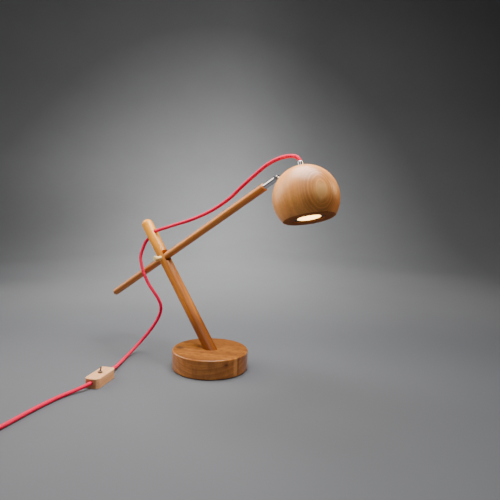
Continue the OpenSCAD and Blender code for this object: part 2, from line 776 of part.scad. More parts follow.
module lamp_holder() {
    color("ivory") at_shade() difference() {
        translate([0, 0, holder_z]) cylinder(d = holder_d, h = holder_h);
        lamp_pin_places() translate([0, 0, -over]) cylinder(d = lamp_pin_d + 0.6, h = lamp_pin_l + over + 0.4);
        holder_screw_places()
            screw_hole(holder_screw_d, 2 * holder_screw_d, holder_screw_d / 2, holder_screw_l, over);
        translate([0, 0, holder_z + lamp_pin_l]) cylinder(d = 4, h = holder_h);
    }
}

module holder_screws() {
    color(steel) at_shade() holder_screw_places()
        wood_screw(holder_screw_d, 2 * holder_screw_d, holder_screw_d / 2, holder_screw_l);
}

// Cord gland on top of the ball
module cord_gland() {
    color(chrome) at_shade() difference() {
        union() {
            translate([0, 0, gland_seat_z]) rotate_extrude() polygon([
                [0, 0], [gland_foot_d / 2, 0], [gland_foot_d / 2, gland_foot_h - 0.5],
                [gland_foot_d / 2 - 0.5, gland_foot_h], [gland_d / 2, gland_foot_h],
                [gland_d / 2, gland_h - 0.8], [gland_d / 2 - 0.6, gland_h], [0, gland_h],
            ]);
            translate([0, 0, nut_top - gland_nut_h - over])
                cylinder(d = thread_d, h = gland_seat_z + 2 * over - nut_top + gland_nut_h);
        }
        translate([0, 0, holder_top]) cylinder(d = gland_bore_d, h = shade_d);
    }
}

module gland_nut() {
    color(steel) at_shade() translate([0, 0, nut_top - gland_nut_h]) difference() {
        cylinder(d = gland_nut_d, h = gland_nut_h, $fn = 6);
        translate([0, 0, -over]) cylinder(d = thread_d + 2 * seat_gap, h = gland_nut_h + 2 * over);
    }
}

// Switch on the cord
module switch_block() {
    color(beech) at_switch() difference() {
        soft_block(switch_l, switch_w, switch_h, switch_corner_r, switch_edge_r);
        translate([-cavity_l / 2, -cavity_w / 2, -over]) cube([cavity_l, cavity_w, cavity_top + over]);
        translate([-cover_l / 2, -cover_w / 2, -over])
            cube([cover_l, cover_w, cover_t + over]);
        translate([-switch_l, 0, cord_z]) along_x() cylinder(d = cord_d + 1.2, h = 2 * switch_l);
        cylinder(d = bushing_d + 2 * seat_gap, h = 2 * switch_h);
        cover_screw_places() cylinder(d = cover_screw_d + 2 * seat_gap, h = cover_screw_l + seat_gap);
    }
}

cover_screw_d = 2.5;
cover_screw_l = 5.4;

module cover_screw_places() {
    for (side = [-1, 1]) translate([side * cover_screw_x, 0, 0.2]) children();
}

module switch_cover() {
    color(beech) at_switch() difference() {
        translate([seat_gap - cover_l / 2, seat_gap - cover_w / 2, 0])
            cube([cover_l - 2 * seat_gap, cover_w - 2 * seat_gap, cover_t]);
        cover_screw_places()
            screw_hole(cover_screw_d, 2 * cover_screw_d, cover_screw_d / 2, cover_screw_l, over);
    }
}

module cover_screws() {
    color(steel) at_switch() cover_screw_places()
        wood_screw(cover_screw_d, 2 * cover_screw_d, cover_screw_d / 2, cover_screw_l);
}

module toggle_case() {
    color(steel) at_switch() difference() {
        union() {
            translate([-toggle_l / 2, -toggle_w / 2, cavity_top - toggle_h]) cube([toggle_l, toggle_w, toggle_h]);
            translate([0, 0, cavity_top - over]) cylinder(d = bushing_d, h = switch_roof + bushing_h + over);
            for (x = [-1, 0, 1])
                translate([x * toggle_l / 3 - 0.3, -1, cavity_top - toggle_h - 1.6]) cube([0.6, 2, 2]);
        }
        translate([0, 0, cavity_top]) cylinder(d = bushing_bore_d, h = switch_h);
    }
}

module toggle_nut() {
    color(steel) at_switch() translate([0, 0, switch_h]) difference() {
        cylinder(d = toggle_nut_d, h = toggle_nut_h, $fn = 6);
        translate([0, 0, -over]) cylinder(d = bushing_d + 2 * seat_gap, h = toggle_nut_h + 2 * over);
    }
}

module toggle_lever() {
    root_d = 2;
    color(steel) at_switch() translate([0, 0, lever_z]) rotate([lever_lean, 0, 0]) {
        sphere(d = lever_ball_d);
        cylinder(d1 = root_d, d2 = lever_d, h = lever_l - lever_d / 2);
        translate([0, 0, lever_l - lever_d / 2]) sphere(d = lever_d);
    }
}

// Textile cord, in the stretches that bend with the arm, hang and lie
module cord_head() {
    color(red) swept_tube(head_path, cord_d, cord_sides, [0, 1, 0]);
}

module cord_span() {
    color(red) swept_tube(span_path, cord_d, cord_sides, [0, 1, 0]);
}

module cord_drop() {
    color(red) swept_tube(drop_path, cord_d, cord_sides, [0, 1, 0]);
}

module cord_lead() {
    color(red) swept_tube(lead_path, cord_d, cord_sides, [0, 0, 1]);
}

module cord_coil() {
    color(red) swept_tube(coil_path, cord_d, coil_sides, [0, 0, 1]);
}

module cord_end() {
    color(red) swept_tube(end_path, cord_d, cord_sides, [0, 0, 1]);
}

// A flat strap round the coil's bundle
module coil_tie() {
    inner_r = coil_inner_r - cord_d / 2 - tie_gap;
    outer_r = coil_inner_r + coil_pitch * (coil_turns - coil_back) + cord_d / 2 + tie_gap;
    low = tie_t;
    high = coil_low_z + coil_pitch + cord_d / 2 + 0.3;
    color(black) translate([coil_c[0], coil_c[1], 0]) rotate([0, 0, tie_a])
        translate([(inner_r + outer_r) / 2, tie_w / 2, (low + high) / 2]) rotate([90, 0, 0]) difference() {
            linear_extrude(tie_w)
                polygon(rounded_rect(outer_r - inner_r + 2 * tie_t, high - low + 2 * tie_t, 2 + tie_t));
            translate([0, 0, -over]) linear_extrude(tie_w + 2 * over)
                polygon(rounded_rect(outer_r - inner_r, high - low, 2));
        }
}

// Plug
module plug_relief() {
    ribs = 4;
    pitch = relief_l / (2 * ribs + 1);
    function relief_r(x) = (relief_tip_d + (relief_root_d - relief_tip_d) * x / relief_l) / 2;
    color(black) at_plug() along_x() rotate_extrude() polygon(concat(
        [[0, 0], [relief_r(0), 0]],
        [for (i = [0:ribs - 1]) for (k = [0, 1]) each [
            [relief_r((2 * i + 1 + k) * pitch) - 0.8 * k, (2 * i + 1 + k) * pitch],
            [relief_r((2 * i + 1 + k) * pitch) - 0.8 * (1 - k), (2 * i + 1 + k) * pitch],
        ]],
        [[relief_r(relief_l), relief_l], [0, relief_l]]
    ));
}

module plug_body() {
    tail_w = relief_root_d + 2;
    color(black) at_plug() difference() {
        intersection() {
            translate([relief_l, 0, -plug_h / 2]) linear_extrude(plug_h) polygon([
                [0, -tail_w / 2], [plug_l / 3, -plug_w / 2], [plug_l - 1, -plug_w / 2], [plug_l, 1 - plug_w / 2],
                [plug_l, plug_w / 2 - 1], [plug_l - 1, plug_w / 2], [plug_l / 3, plug_w / 2], [0, tail_w / 2],
            ]);
            translate([relief_l - over, 0, 0]) rotate([90, 0, 90]) linear_extrude(plug_l + 2 * over)
                polygon(rounded_rect(plug_w, plug_h, 3.5));
        }
        plug_pin_places() along_x() cylinder(d = plug_pin_d + 2 * seat_gap, h = plug_l);
    }
}

module plug_pin_places() {
    for (side = [-1, 1]) translate([relief_l + plug_l - plug_pin_root, side * plug_pin_gap / 2, 0]) children();
}

module plug_pins() {
    color(steel) at_plug() plug_pin_places() along_x() {
        cylinder(d = plug_pin_d, h = plug_pin_root + plug_pin_l - 1);
        translate([0, 0, plug_pin_root + plug_pin_l - 1]) cylinder(d1 = plug_pin_d, d2 = plug_pin_d - 1.6, h = 1);
    }
}

base();
felt_pad();
ballast_disc();
ballast_screws();
post();
post_screw();
pivot_bolt();
pivot_washers();
clamp_nut();
arm();
arm_tube();
head_link();
knuckle_screw();
stem_insert();
shade();
spot_lamp();
lamp_lens();
lamp_pins();
lamp_holder();
holder_screws();
cord_gland();
gland_nut();
switch_block();
switch_cover();
cover_screws();
toggle_case();
toggle_nut();
toggle_lever();
cord_head();
cord_span();
cord_drop();
cord_lead();
cord_coil();
coil_tie();
cord_end();
plug_relief();
plug_body();
plug_pins();
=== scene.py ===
"""Dresses the adjustable desk lamp: wood, metal and textile finishes, the red cord, light and camera."""

from __future__ import annotations

import logging
import math
from dataclasses import dataclass, field
from enum import Enum
from typing import Sequence, Union

import bpy
from mathutils import Matrix, Vector


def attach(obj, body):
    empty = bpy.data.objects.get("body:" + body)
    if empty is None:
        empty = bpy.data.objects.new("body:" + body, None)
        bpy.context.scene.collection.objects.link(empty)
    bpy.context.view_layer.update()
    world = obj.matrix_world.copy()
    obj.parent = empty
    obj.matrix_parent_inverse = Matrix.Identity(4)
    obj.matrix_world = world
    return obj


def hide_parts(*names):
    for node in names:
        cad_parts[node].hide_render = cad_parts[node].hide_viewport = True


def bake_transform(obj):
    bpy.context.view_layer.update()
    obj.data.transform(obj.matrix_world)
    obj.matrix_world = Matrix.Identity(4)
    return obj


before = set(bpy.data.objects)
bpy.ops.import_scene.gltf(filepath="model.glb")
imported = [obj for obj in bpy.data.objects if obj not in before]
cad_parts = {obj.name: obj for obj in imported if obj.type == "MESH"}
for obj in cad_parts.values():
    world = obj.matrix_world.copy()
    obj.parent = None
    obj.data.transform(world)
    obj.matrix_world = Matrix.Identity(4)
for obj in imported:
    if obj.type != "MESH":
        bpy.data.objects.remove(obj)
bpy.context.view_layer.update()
LOG = logging.getLogger("desk_lamp")
MM = 0.001
CORD_DIAMETER = 6.6 * MM
WEAVE = "weave"
NOISE_MIDDLE = 0.5
UPWARDS = (0.0, 0.0, 1.0)

Vec3 = tuple[float, float, float]
Span = tuple[float, float]
Profile = tuple[Span, ...]
Key = Union[int, str]
Scalar = Union["Signal", float]
Settings = dict[str, object]


# Shader building

class Blend(Enum):
    """How a Mix node joins two colours."""

    MIX = "MIX"
    MULTIPLY = "MULTIPLY"


class Axis(Enum):
    """One of a vector's three directions."""

    X = "X"
    Y = "Y"
    Z = "Z"


class Signal:
    """One output of a node tree; arithmetic on it adds Math nodes."""

    def __init__(self, graph: "Graph", socket: bpy.types.NodeSocket) -> None:
        """Wraps a socket of a graph."""
        self.graph = graph
        self.socket = socket

    def _math(self, operation: str, first: Scalar, second: Scalar = 0.0) -> "Signal":
        """Adds one Math node and returns its value."""
        return self.graph.node("ShaderNodeMath", {"operation": operation}, {0: first, 1: second})

    def __add__(self, other: Scalar) -> "Signal":
        """Sum."""
        return self._math("ADD", self, other)

    def __radd__(self, other: float) -> "Signal":
        """Sum with a number in front."""
        return self._math("ADD", other, self)

    def __sub__(self, other: Scalar) -> "Signal":
        """Difference."""
        return self._math("SUBTRACT", self, other)

    def __rsub__(self, other: float) -> "Signal":
        """Difference from a number."""
        return self._math("SUBTRACT", other, self)

    def __mul__(self, other: Scalar) -> "Signal":
        """Product."""
        return self._math("MULTIPLY", self, other)

    def __rmul__(self, other: float) -> "Signal":
        """Product with a number in front."""
        return self._math("MULTIPLY", other, self)

    def __truediv__(self, other: Scalar) -> "Signal":
        """Quotient."""
        return self._math("DIVIDE", self, other)

    def __rtruediv__(self, other: float) -> "Signal":
        """Quotient of a number."""
        return self._math("DIVIDE", other, self)

    def __pow__(self, other: Scalar) -> "Signal":
        """Power."""
        return self._math("POWER", self, other)

    def __rpow__(self, other: float) -> "Signal":
        """Power of a number."""
        return self._math("POWER", other, self)

    def fract(self) -> "Signal":
        """Part after the decimal point."""
        return self._math("FRACT", self)

    def floor(self) -> "Signal":
        """Whole number below."""
        return self._math("FLOOR", self)

    def wave(self) -> "Signal":
        """Sine of the value in radians."""
        return self._math("SINE", self)

    def size(self) -> "Signal":
        """Absolute value."""
        return self._math("ABSOLUTE", self)

    def top(self, other: Scalar) -> "Signal":
        """Larger of two values."""
        return self._math("MAXIMUM", self, other)

    def exp(self) -> "Signal":
        """e to the power of the value."""
        return self._math("EXPONENT", self)

    def mod(self, other: float) -> "Signal":
        """Remainder, always positive."""
        return self._math("FLOORED_MODULO", self, other)

    def centred(self) -> "Signal":
        """Noise about zero instead of about its middle."""
        return self - NOISE_MIDDLE

    def between(self, low: float, high: float) -> "Signal":
        """Smooth step from 0 at low to 1 at high.

        Args:
            low: value that gives 0.
            high: value that gives 1; it may be below low.

        Returns:
            The eased share.
        """
        return self.graph.node(
            "ShaderNodeMapRange", {"interpolation_type": "SMOOTHSTEP"},
            {"Value": self, "From Min": low, "From Max": high, "To Min": 0.0, "To Max": 1.0},
        )


class Graph:
    """A node tree that grows through one method."""

    def __init__(self, tree: bpy.types.NodeTree) -> None:
        """Takes the tree to add to."""
        self.tree = tree

    @staticmethod
    def _find(sockets: Sequence[bpy.types.NodeSocket], key: Key) -> bpy.types.NodeSocket:
        """Finds a socket.

        Args:
            sockets: a node's inputs or outputs.
            key: the socket's place, identifier or name.

        Returns:
            The socket.
        """
        if isinstance(key, int):
            return sockets[key]
        return next(s for s in sockets if key in (s.identifier, s.name))

    @staticmethod
    def _set_stops(ramp: bpy.types.ColorRamp, stops: Sequence[tuple[float, Vec3]]) -> None:
        """Sets a colour ramp's stops.

        Args:
            ramp: the ramp.
            stops: places and colours, in order.
        """
        while len(ramp.elements) < len(stops):
            ramp.elements.new(stops[-1][0])
        for element, (place, colour) in zip(ramp.elements, stops):
            element.position = place
            element.color = (*colour, 1.0)

    def feed(self, socket: bpy.types.NodeSocket, value: object) -> None:
        """Links a signal to a socket, or sets the socket's own value.

        Args:
            socket: the input.
            value: a signal, a number, a vector or a colour.
        """
        if isinstance(value, Signal):
            self.tree.links.new(value.socket, socket)
        elif isinstance(value, tuple) and socket.type == "RGBA":
            socket.default_value = (*value, 1.0)
        else:
            socket.default_value = value

    def node(self, kind: str, settings: Settings | None = None,
             sockets: dict[Key, object] | None = None, out: Key = 0) -> Signal:
        """Adds a node.

        Args:
            kind: the node's type.
            settings: its properties, set first; stops are a ramp's places and colours.
            sockets: values or signals of its inputs.
            out: the output to return.

        Returns:
            That output as a signal.
        """
        made = self.tree.nodes.new(kind)
        for key, value in (settings or {}).items():
            if key == "stops":
                self._set_stops(made.color_ramp, value)
            else:
                setattr(made, key, value)
        for key, value in (sockets or {}).items():
            self.feed(self._find(made.inputs, key), value)
        return Signal(self, self._find(made.outputs, out))

    def place(self) -> Signal:
        """Place on the piece at rest, in metres."""
        return self.node("ShaderNodeTexCoord", out="Object")

    def vector(self, operation: str, first: object, second: object, out: Key = 0) -> Signal:
        """Vector Math on two vectors."""
        return self.node("ShaderNodeVectorMath", {"operation": operation}, {0: first, 1: second}, out)

    def dot(self, first: object, second: object) -> Signal:
        """Dot product of two vectors."""
        return self.vector("DOT_PRODUCT", first, second, "Value")

    def distance(self, first: object, second: object) -> Signal:
        """Distance between two points."""
        return self.vector("DISTANCE", first, second, "Value")

    def length(self, vector: Signal) -> Signal:
        """Length of a vector."""
        return self.node("ShaderNodeVectorMath", {"operation": "LENGTH"}, {0: vector}, "Value")

    def join(self, x: Scalar, y: Scalar, z: Scalar) -> Signal:
        """Vector of three values."""
        return self.node("ShaderNodeCombineXYZ", None, {0: x, 1: y, 2: z})

    def part(self, vector: Signal, axis: Axis) -> Signal:
        """One of a vector's three values."""
        return self.node("ShaderNodeSeparateXYZ", None, {0: vector}, axis.value)

    def noise(self, vector: Signal, scale: float, detail: float = 2.0, rough: float = 0.5) -> Signal:
        """Smooth noise from 0 to 1."""
        sockets = {"Vector": vector, "Scale": scale, "Detail": detail, "Roughness": rough}
        return self.node("ShaderNodeTexNoise", {"noise_dimensions": "3D"}, sockets)

    def mix(self, share: Scalar, first: object, second: object, mode: Blend = Blend.MIX) -> Signal:
        """Mixes two colours.

        Args:
            share: how much of the second colour.
            first: the colour at a share of 0.
            second: the colour at a share of 1, or what the first is multiplied by.
            mode: the node's way of mixing.

        Returns:
            The mixed colour.
        """
        settings = {"data_type": "RGBA", "blend_type": mode.value, "clamp_factor": True}
        sockets = {"Factor_Float": share, "A_Color": first, "B_Color": second}
        return self.node("ShaderNodeMix", settings, sockets, "Result_Color")

    def ramp(self, share: Signal, stops: Sequence[tuple[float, Vec3]]) -> Signal:
        """Colour ramp along a value."""
        return self.node("ShaderNodeValToRGB", {"stops": stops}, {0: share})

    def curve(self, share: Signal, stops: Profile) -> Signal:
        """Value that follows straight lines between stops."""
        return self.ramp(share, [(place, (level, level, level)) for place, level in stops])

    def relief(self, height: Signal, depth: float, strength: float) -> Signal:
        """Bump of a depth in metres, for a shader's normal."""
        return self.node("ShaderNodeBump", None, {"Height": height, "Distance": depth, "Strength": strength})


class SurfaceGraph(Graph):
    """A material's node tree round one Principled shader."""

    def __init__(self, name: str) -> None:
        """Makes a material with only its shader and output.

        Args:
            name: the material's name.
        """
        self.material = bpy.data.materials.new(name)
        self.material.use_nodes = True
        super().__init__(self.material.node_tree)
        self.tree.nodes.clear()
        self.shader = self.tree.nodes.new("ShaderNodeBsdfPrincipled")
        output = self.tree.nodes.new("ShaderNodeOutputMaterial")
        self.tree.links.new(self.shader.outputs[0], output.inputs["Surface"])

    def finish(self, **sockets: object) -> bpy.types.Material:
        """Sets the shader's sockets.

        Args:
            sockets: values or signals, by socket name with underscores.

        Returns:
            The finished material.
        """
        for key, value in sockets.items():
            self.feed(self._find(self.shader.inputs, key.replace("_", " ")), value)
        return self.material


# Finishes

@dataclass(frozen=True)
class GrainPlace:
    """A place measured along an axis and across it, in metres."""

    along: Signal
    side: Signal
    face: Signal

    @classmethod
    def on(cls, g: Graph, place: Signal, axis: Vec3) -> "GrainPlace":
        """Measures a place against an axis.

        Args:
            g: graph to add to.
            place: the place.
            axis: direction of the grain or of the turning.

        Returns:
            The three measures.
        """
        along = Vector(axis).normalized()
        side = along.orthogonal().normalized()
        return cls(g.dot(place, along), g.dot(place, side), g.dot(place, along.cross(side)))


@dataclass(frozen=True)
class Streak:
    """Noise drawn out along the grain, with scales per metre."""

    across: float
    along: float
    detail: float = 2.0
    rough: float = 0.5

    def draw(self, g: Graph, spot: GrainPlace) -> Signal:
        """Noise from 0 to 1 at a place."""
        grain = g.join(spot.side * self.across, spot.face * self.across, spot.along * self.along)
        return g.noise(grain, 1.0, self.detail, self.rough)


@dataclass(frozen=True)
class Mark:
    """A knot, streak or stain in the wood, or a patch of painted light or shade: a soft blob of another
    tone.
    """

    place: Vec3
    reach: Vec3
    tone: Vec3
    share: float


@dataclass(frozen=True)
class EndFace:
    """A flat turned face, duller than the rounded wood and darkened by painted shade; on end grain the
    darkening is partly the wood's own tone.
    """

    centre: Vec3
    axis: Vec3
    depth: float = 0.0
    shade: Vec3 = (0.62, 0.48, 0.30)
    edge: float = 0.4 * MM
    dulled: float = 0.25

    def share(self, g: Graph, place: Signal) -> Signal:
        """1 on the face and 0 on the rounded wood."""
        depth = g.dot(g.vector("SUBTRACT", place, self.centre), self.axis)
        return (depth + self.depth).between(self.edge, -self.edge)


@dataclass(frozen=True)
class Figure:
    """What a piece of oak is like at each place."""

    place: Signal
    along: Signal
    radius: Signal
    year: Signal
    late: Signal
    ripple: Signal
    fibre: Signal
    pores: Signal


@dataclass(frozen=True)
class Oak:
    """Oiled oak with growth rings round a pith line, pores along the grain and a satin coat."""

    name: str
    pith: Vec3
    grain: Vec3
    pale: Vec3 = (0.68, 0.250, 0.033)
    honey: Vec3 = (0.47, 0.140, 0.014)
    umber: Vec3 = (0.20, 0.045, 0.004)
    ring_pitch: float = 2.2 * MM
    ring_share: float = 0.55
    ring_profile: Profile = ((0.0, 0.05), (0.3, 0.12), (0.7, 0.5), (0.92, 1.0), (1.0, 0.05))
    ring_fade: Span | None = None
    ring_least: float = 0.45
    ring_varies: float = 0.8
    year_step: float = 0.37
    year_drift: float = 1.5
    year_scale: float = 3.1
    wobble: float = 1.6 * MM
    drift: Streak = Streak(22.0, 5.0)
    drift_share: float = 4.0
    ripple: Streak = Streak(160.0, 14.0)
    ripple_share: float = 0.5
    band_pitch: float = 7.0 * MM
    band_drift: float = 3.0
    band_edge: Span = (0.40, 0.60)
    band_share: float = 0.25
    blotch_scale: Vec3 = (85.0, 85.0, 28.0)
    blotch_edge: Span = (0.40, 0.75)
    blotch_share: float = 0.0
    cloud_scale: float = 17.0
    cloud_edge: Span = (0.35, 0.75)
    cloud_share: float = 0.35
    fibre: Streak = Streak(900.0, 32.0, 3.0, 0.6)
    fibre_edge: Span = (0.25, 0.75)
    fibre_rough: float = 0.16
    fibre_height: float = 0.25
    pores: Streak = Streak(1700.0, 85.0, 1.0)
    pore_edge: Span = (0.62, 0.72)
    pore_share: float = 0.45
    pore_tone: float = 0.5
    pore_rough: float = 0.2
    pore_height: float = 0.7
    pores_lost_in_late: float = 0.6
    coat_lost_in_pores: float = 0.6
    late_height: float = 0.12
    relief_depth: float = 0.12 * MM
    relief_strength: float = 0.6
    roughness: float = 0.44
    specular: float = 0.12
    coat: float = 0.25
    coat_roughness: float = 0.40
    marks: tuple[Mark, ...] = ()
    mark_edge: Span = (1.0, 0.35)
    mark_blur: float = 0.5
    end_face: EndFace | None = None

    def _figure(self, g: Graph) -> Figure:
        """Lays out rings, fibre and pores.

        Args:
            g: graph to add to.

        Returns:
            The wood's figure.
        """
        place = g.place()
        spot = GrainPlace.on(g, g.vector("SUBTRACT", place, self.pith), self.grain)
        ripple = self.ripple.draw(g, spot)
        bend = self.drift.draw(g, spot).centred() * (self.drift_share * self.wobble)
        radius = (spot.side ** 2.0 + spot.face ** 2.0) ** 0.5 + bend
        radius = radius + ripple.centred() * (self.ripple_share * self.wobble)
        year = radius / self.ring_pitch
        late = g.curve(year.fract(), self.ring_profile)
        if self.ring_fade:
            near, far = self.ring_fade
            late = late * radius.between(far, near)
        fibre = self.fibre.draw(g, spot)
        pores = self.pores.draw(g, spot).between(*self.pore_edge) * (1.0 - late * self.pores_lost_in_late)
        return Figure(place, spot.along, radius, year, late, ripple, fibre, pores)

    def _colour(self, g: Graph, figure: Figure) -> Signal:
        """Mixes the wood's colour without its marks.

        Args:
            g: graph to add to.
            figure: the wood's figure.

        Returns:
            The colour.
        """
        year_at = g.join(figure.year.floor() * self.year_step, figure.along * self.year_drift, 0.0)
        year_tone = self.ring_least + g.noise(year_at, self.year_scale, 0.0) * self.ring_varies
        band_at = g.join(figure.radius / self.band_pitch, figure.along * self.band_drift, 0.0)
        bands = g.noise(band_at, 1.0, 1.0)
        blotch = g.noise(g.vector("MULTIPLY", figure.place, self.blotch_scale), 1.0)
        cloud = g.noise(figure.place, self.cloud_scale)
        layers = (
            (bands.between(*self.band_edge) * self.band_share, self.umber),
            (blotch.between(*self.blotch_edge) * self.blotch_share, self.umber),
            (figure.late * year_tone * self.ring_share, self.umber),
            (figure.pores * self.pore_share, tuple(self.pore_tone * c for c in self.umber)),
            (cloud.between(*self.cloud_edge) * self.cloud_share, self.honey),
        )
        colour = g.mix(figure.fibre.between(*self.fibre_edge), self.honey, self.pale)
        for share, tone in layers:
            colour = g.mix(share, colour, tone)
        return colour

    def _marked(self, g: Graph, figure: Figure, colour: Signal) -> Signal:
        """Adds knots, streaks and stains, and patches of painted light and shade.

        Args:
            g: graph to add to.
            figure: the wood's figure.
            colour: the wood's colour without them.

        Returns:
            The colour with them.
        """
        blur = figure.ripple.centred() * self.mark_blur
        for mark in self.marks:
            offset = g.vector("DIVIDE", g.vector("SUBTRACT", figure.place, mark.place), mark.reach)
            blob = (g.length(offset) + blur).between(*self.mark_edge)
            colour = g.mix(blob * mark.share, colour, mark.tone)
        return colour

    def material(self) -> bpy.types.Material:
        """Builds the wood's material.

        Returns:
            The material.
        """
        g = SurfaceGraph(self.name)
        figure = self._figure(g)
        fibre, pores = figure.fibre, figure.pores
        colour = self._marked(g, figure, self._colour(g, figure))
        height = fibre * self.fibre_height - pores * self.pore_height + figure.late * self.late_height
        coat = self.coat * (1.0 - pores * self.coat_lost_in_pores)
        roughness = self.roughness + fibre.centred() * self.fibre_rough + pores * self.pore_rough
        if self.end_face:
            # Painted shade: the flat face is darkened, on end grain partly its own darker tone, and its coat
            # is taken off.
            cut = self.end_face.share(g, figure.place)
            colour = g.mix(cut, colour, self.end_face.shade, Blend.MULTIPLY)
            coat = coat * (1.0 - cut)
            roughness = roughness + cut * self.end_face.dulled
        return g.finish(
            Base_Color=colour,
            Roughness=roughness,
            Specular_IOR_Level=self.specular,
            Coat_Weight=coat,
            Coat_Roughness=self.coat_roughness,
            Normal=g.relief(height, self.relief_depth, self.relief_strength),
        )


@dataclass(frozen=True)
class Beech:
    """Pale waxed beech of the switch block, with short flecks and darker end grain."""

    name: str = "beech_waxed"
    pale: Vec3 = (0.86, 0.47, 0.24)
    tan: Vec3 = (0.72, 0.35, 0.15)
    fleck: Vec3 = (0.42, 0.18, 0.07)
    grain: Vec3 = (-0.4226, 0.9063, 0.0)
    middle: Vec3 = (-0.0905, -0.1955, 0.0)
    half_length: float = 33.0 * MM
    end_edge: Span = (1.2 * MM, 0.3 * MM)
    end_shade: Vec3 = (0.60, 0.50, 0.43)
    bands: Streak = Streak(210.0, 9.0)
    band_edge: Span = (0.3, 0.7)
    fibre: Streak = Streak(1500.0, 60.0, 3.0)
    fibre_edge: Span = (0.45, 0.8)
    fibre_share: float = 0.4
    fibre_rough: float = 0.14
    flecks: Streak = Streak(1400.0, 260.0, 0.0)
    fleck_edge: Span = (0.66, 0.74)
    fleck_share: float = 0.55
    fleck_height: float = 0.6
    roughness: float = 0.5
    relief_depth: float = 0.1 * MM
    relief_strength: float = 0.5

    def material(self) -> bpy.types.Material:
        """Builds the wood's material.

        Returns:
            The material.
        """
        g = SurfaceGraph(self.name)
        place = g.place()
        spot = GrainPlace.on(g, place, self.grain)
        fibre = self.fibre.draw(g, spot)
        flecks = self.flecks.draw(g, spot).between(*self.fleck_edge)
        colour = g.mix(self.bands.draw(g, spot).between(*self.band_edge), self.pale, self.tan)
        colour = g.mix(fibre.between(*self.fibre_edge) * self.fibre_share, colour, self.tan)
        colour = g.mix(flecks * self.fleck_share, colour, self.fleck)
        from_middle = g.dot(g.vector("SUBTRACT", place, self.middle), Vector(self.grain).normalized()).size()
        end_grain = from_middle.between(*(self.half_length - inset for inset in self.end_edge))
        colour = g.mix(end_grain, colour, self.end_shade, Blend.MULTIPLY)
        height = fibre * self.fibre_share - flecks * self.fleck_height
        return g.finish(
            Base_Color=colour,
            Roughness=self.roughness + fibre.centred() * self.fibre_rough,
            Normal=g.relief(height, self.relief_depth, self.relief_strength),
        )


@dataclass(frozen=True)
class Metal:
    """A bright or brushed metal with faint turning lines and a little handling haze."""

    name: str
    colour: Vec3
    dull: Vec3
    roughness: float
    haze: float
    line_scale: float
    axis: Vec3 = UPWARDS
    across_scale: float = 12.0
    smear_scale: float = 140.0
    smear_edge: Span = (0.45, 0.8)
    smear_share: float = 0.5
    haze_edge: Span = (0.4, 0.8)
    relief_depth: float = 0.02 * MM
    relief_strength: float = 0.25

    def material(self) -> bpy.types.Material:
        """Builds the metal's material.

        Returns:
            The material.
        """
        g = SurfaceGraph(self.name)
        place = g.place()
        spot = GrainPlace.on(g, place, self.axis)
        lines = g.noise(g.join(spot.along * self.line_scale, spot.side * self.across_scale,
                               spot.face * self.across_scale), 1.0)
        smear = g.noise(place, self.smear_scale, 3.0)
        haze = (smear.between(*self.haze_edge) + lines.centred()) * self.haze
        return g.finish(
            Base_Color=g.mix(smear.between(*self.smear_edge) * self.smear_share, self.colour, self.dull),
            Metallic=1.0,
            Roughness=self.roughness + haze,
            Normal=g.relief(lines, self.relief_depth, self.relief_strength),
        )


@dataclass(frozen=True)
class Moulded:
    """Moulded plastic, rubber, felt or fired clay with a fine skin texture."""

    name: str
    colour: Vec3
    worn: Vec3
    roughness: float
    skin_scale: float
    skin_depth: float
    sheen: float = 0.0
    skin_edge: Span = (0.55, 0.8)
    skin_share: float = 0.3
    cloud_scale: float = 60.0
    cloud_edge: Span = (0.35, 0.75)
    cloud_share: float = 0.6
    cloud_rough: float = 0.15
    relief_strength: float = 0.6

    def material(self) -> bpy.types.Material:
        """Builds the material.

        Returns:
            The material.
        """
        g = SurfaceGraph(self.name)
        place = g.place()
        skin = g.noise(place, self.skin_scale, 3.0, 0.6)
        cloud = g.noise(place, self.cloud_scale)
        wear = cloud.between(*self.cloud_edge) * self.cloud_share
        wear = wear + skin.between(*self.skin_edge) * self.skin_share
        return g.finish(
            Base_Color=g.mix(wear, self.colour, self.worn),
            Roughness=self.roughness + cloud.centred() * self.cloud_rough,
            Sheen_Weight=self.sheen,
            Normal=g.relief(skin, self.skin_depth, self.relief_strength),
        )


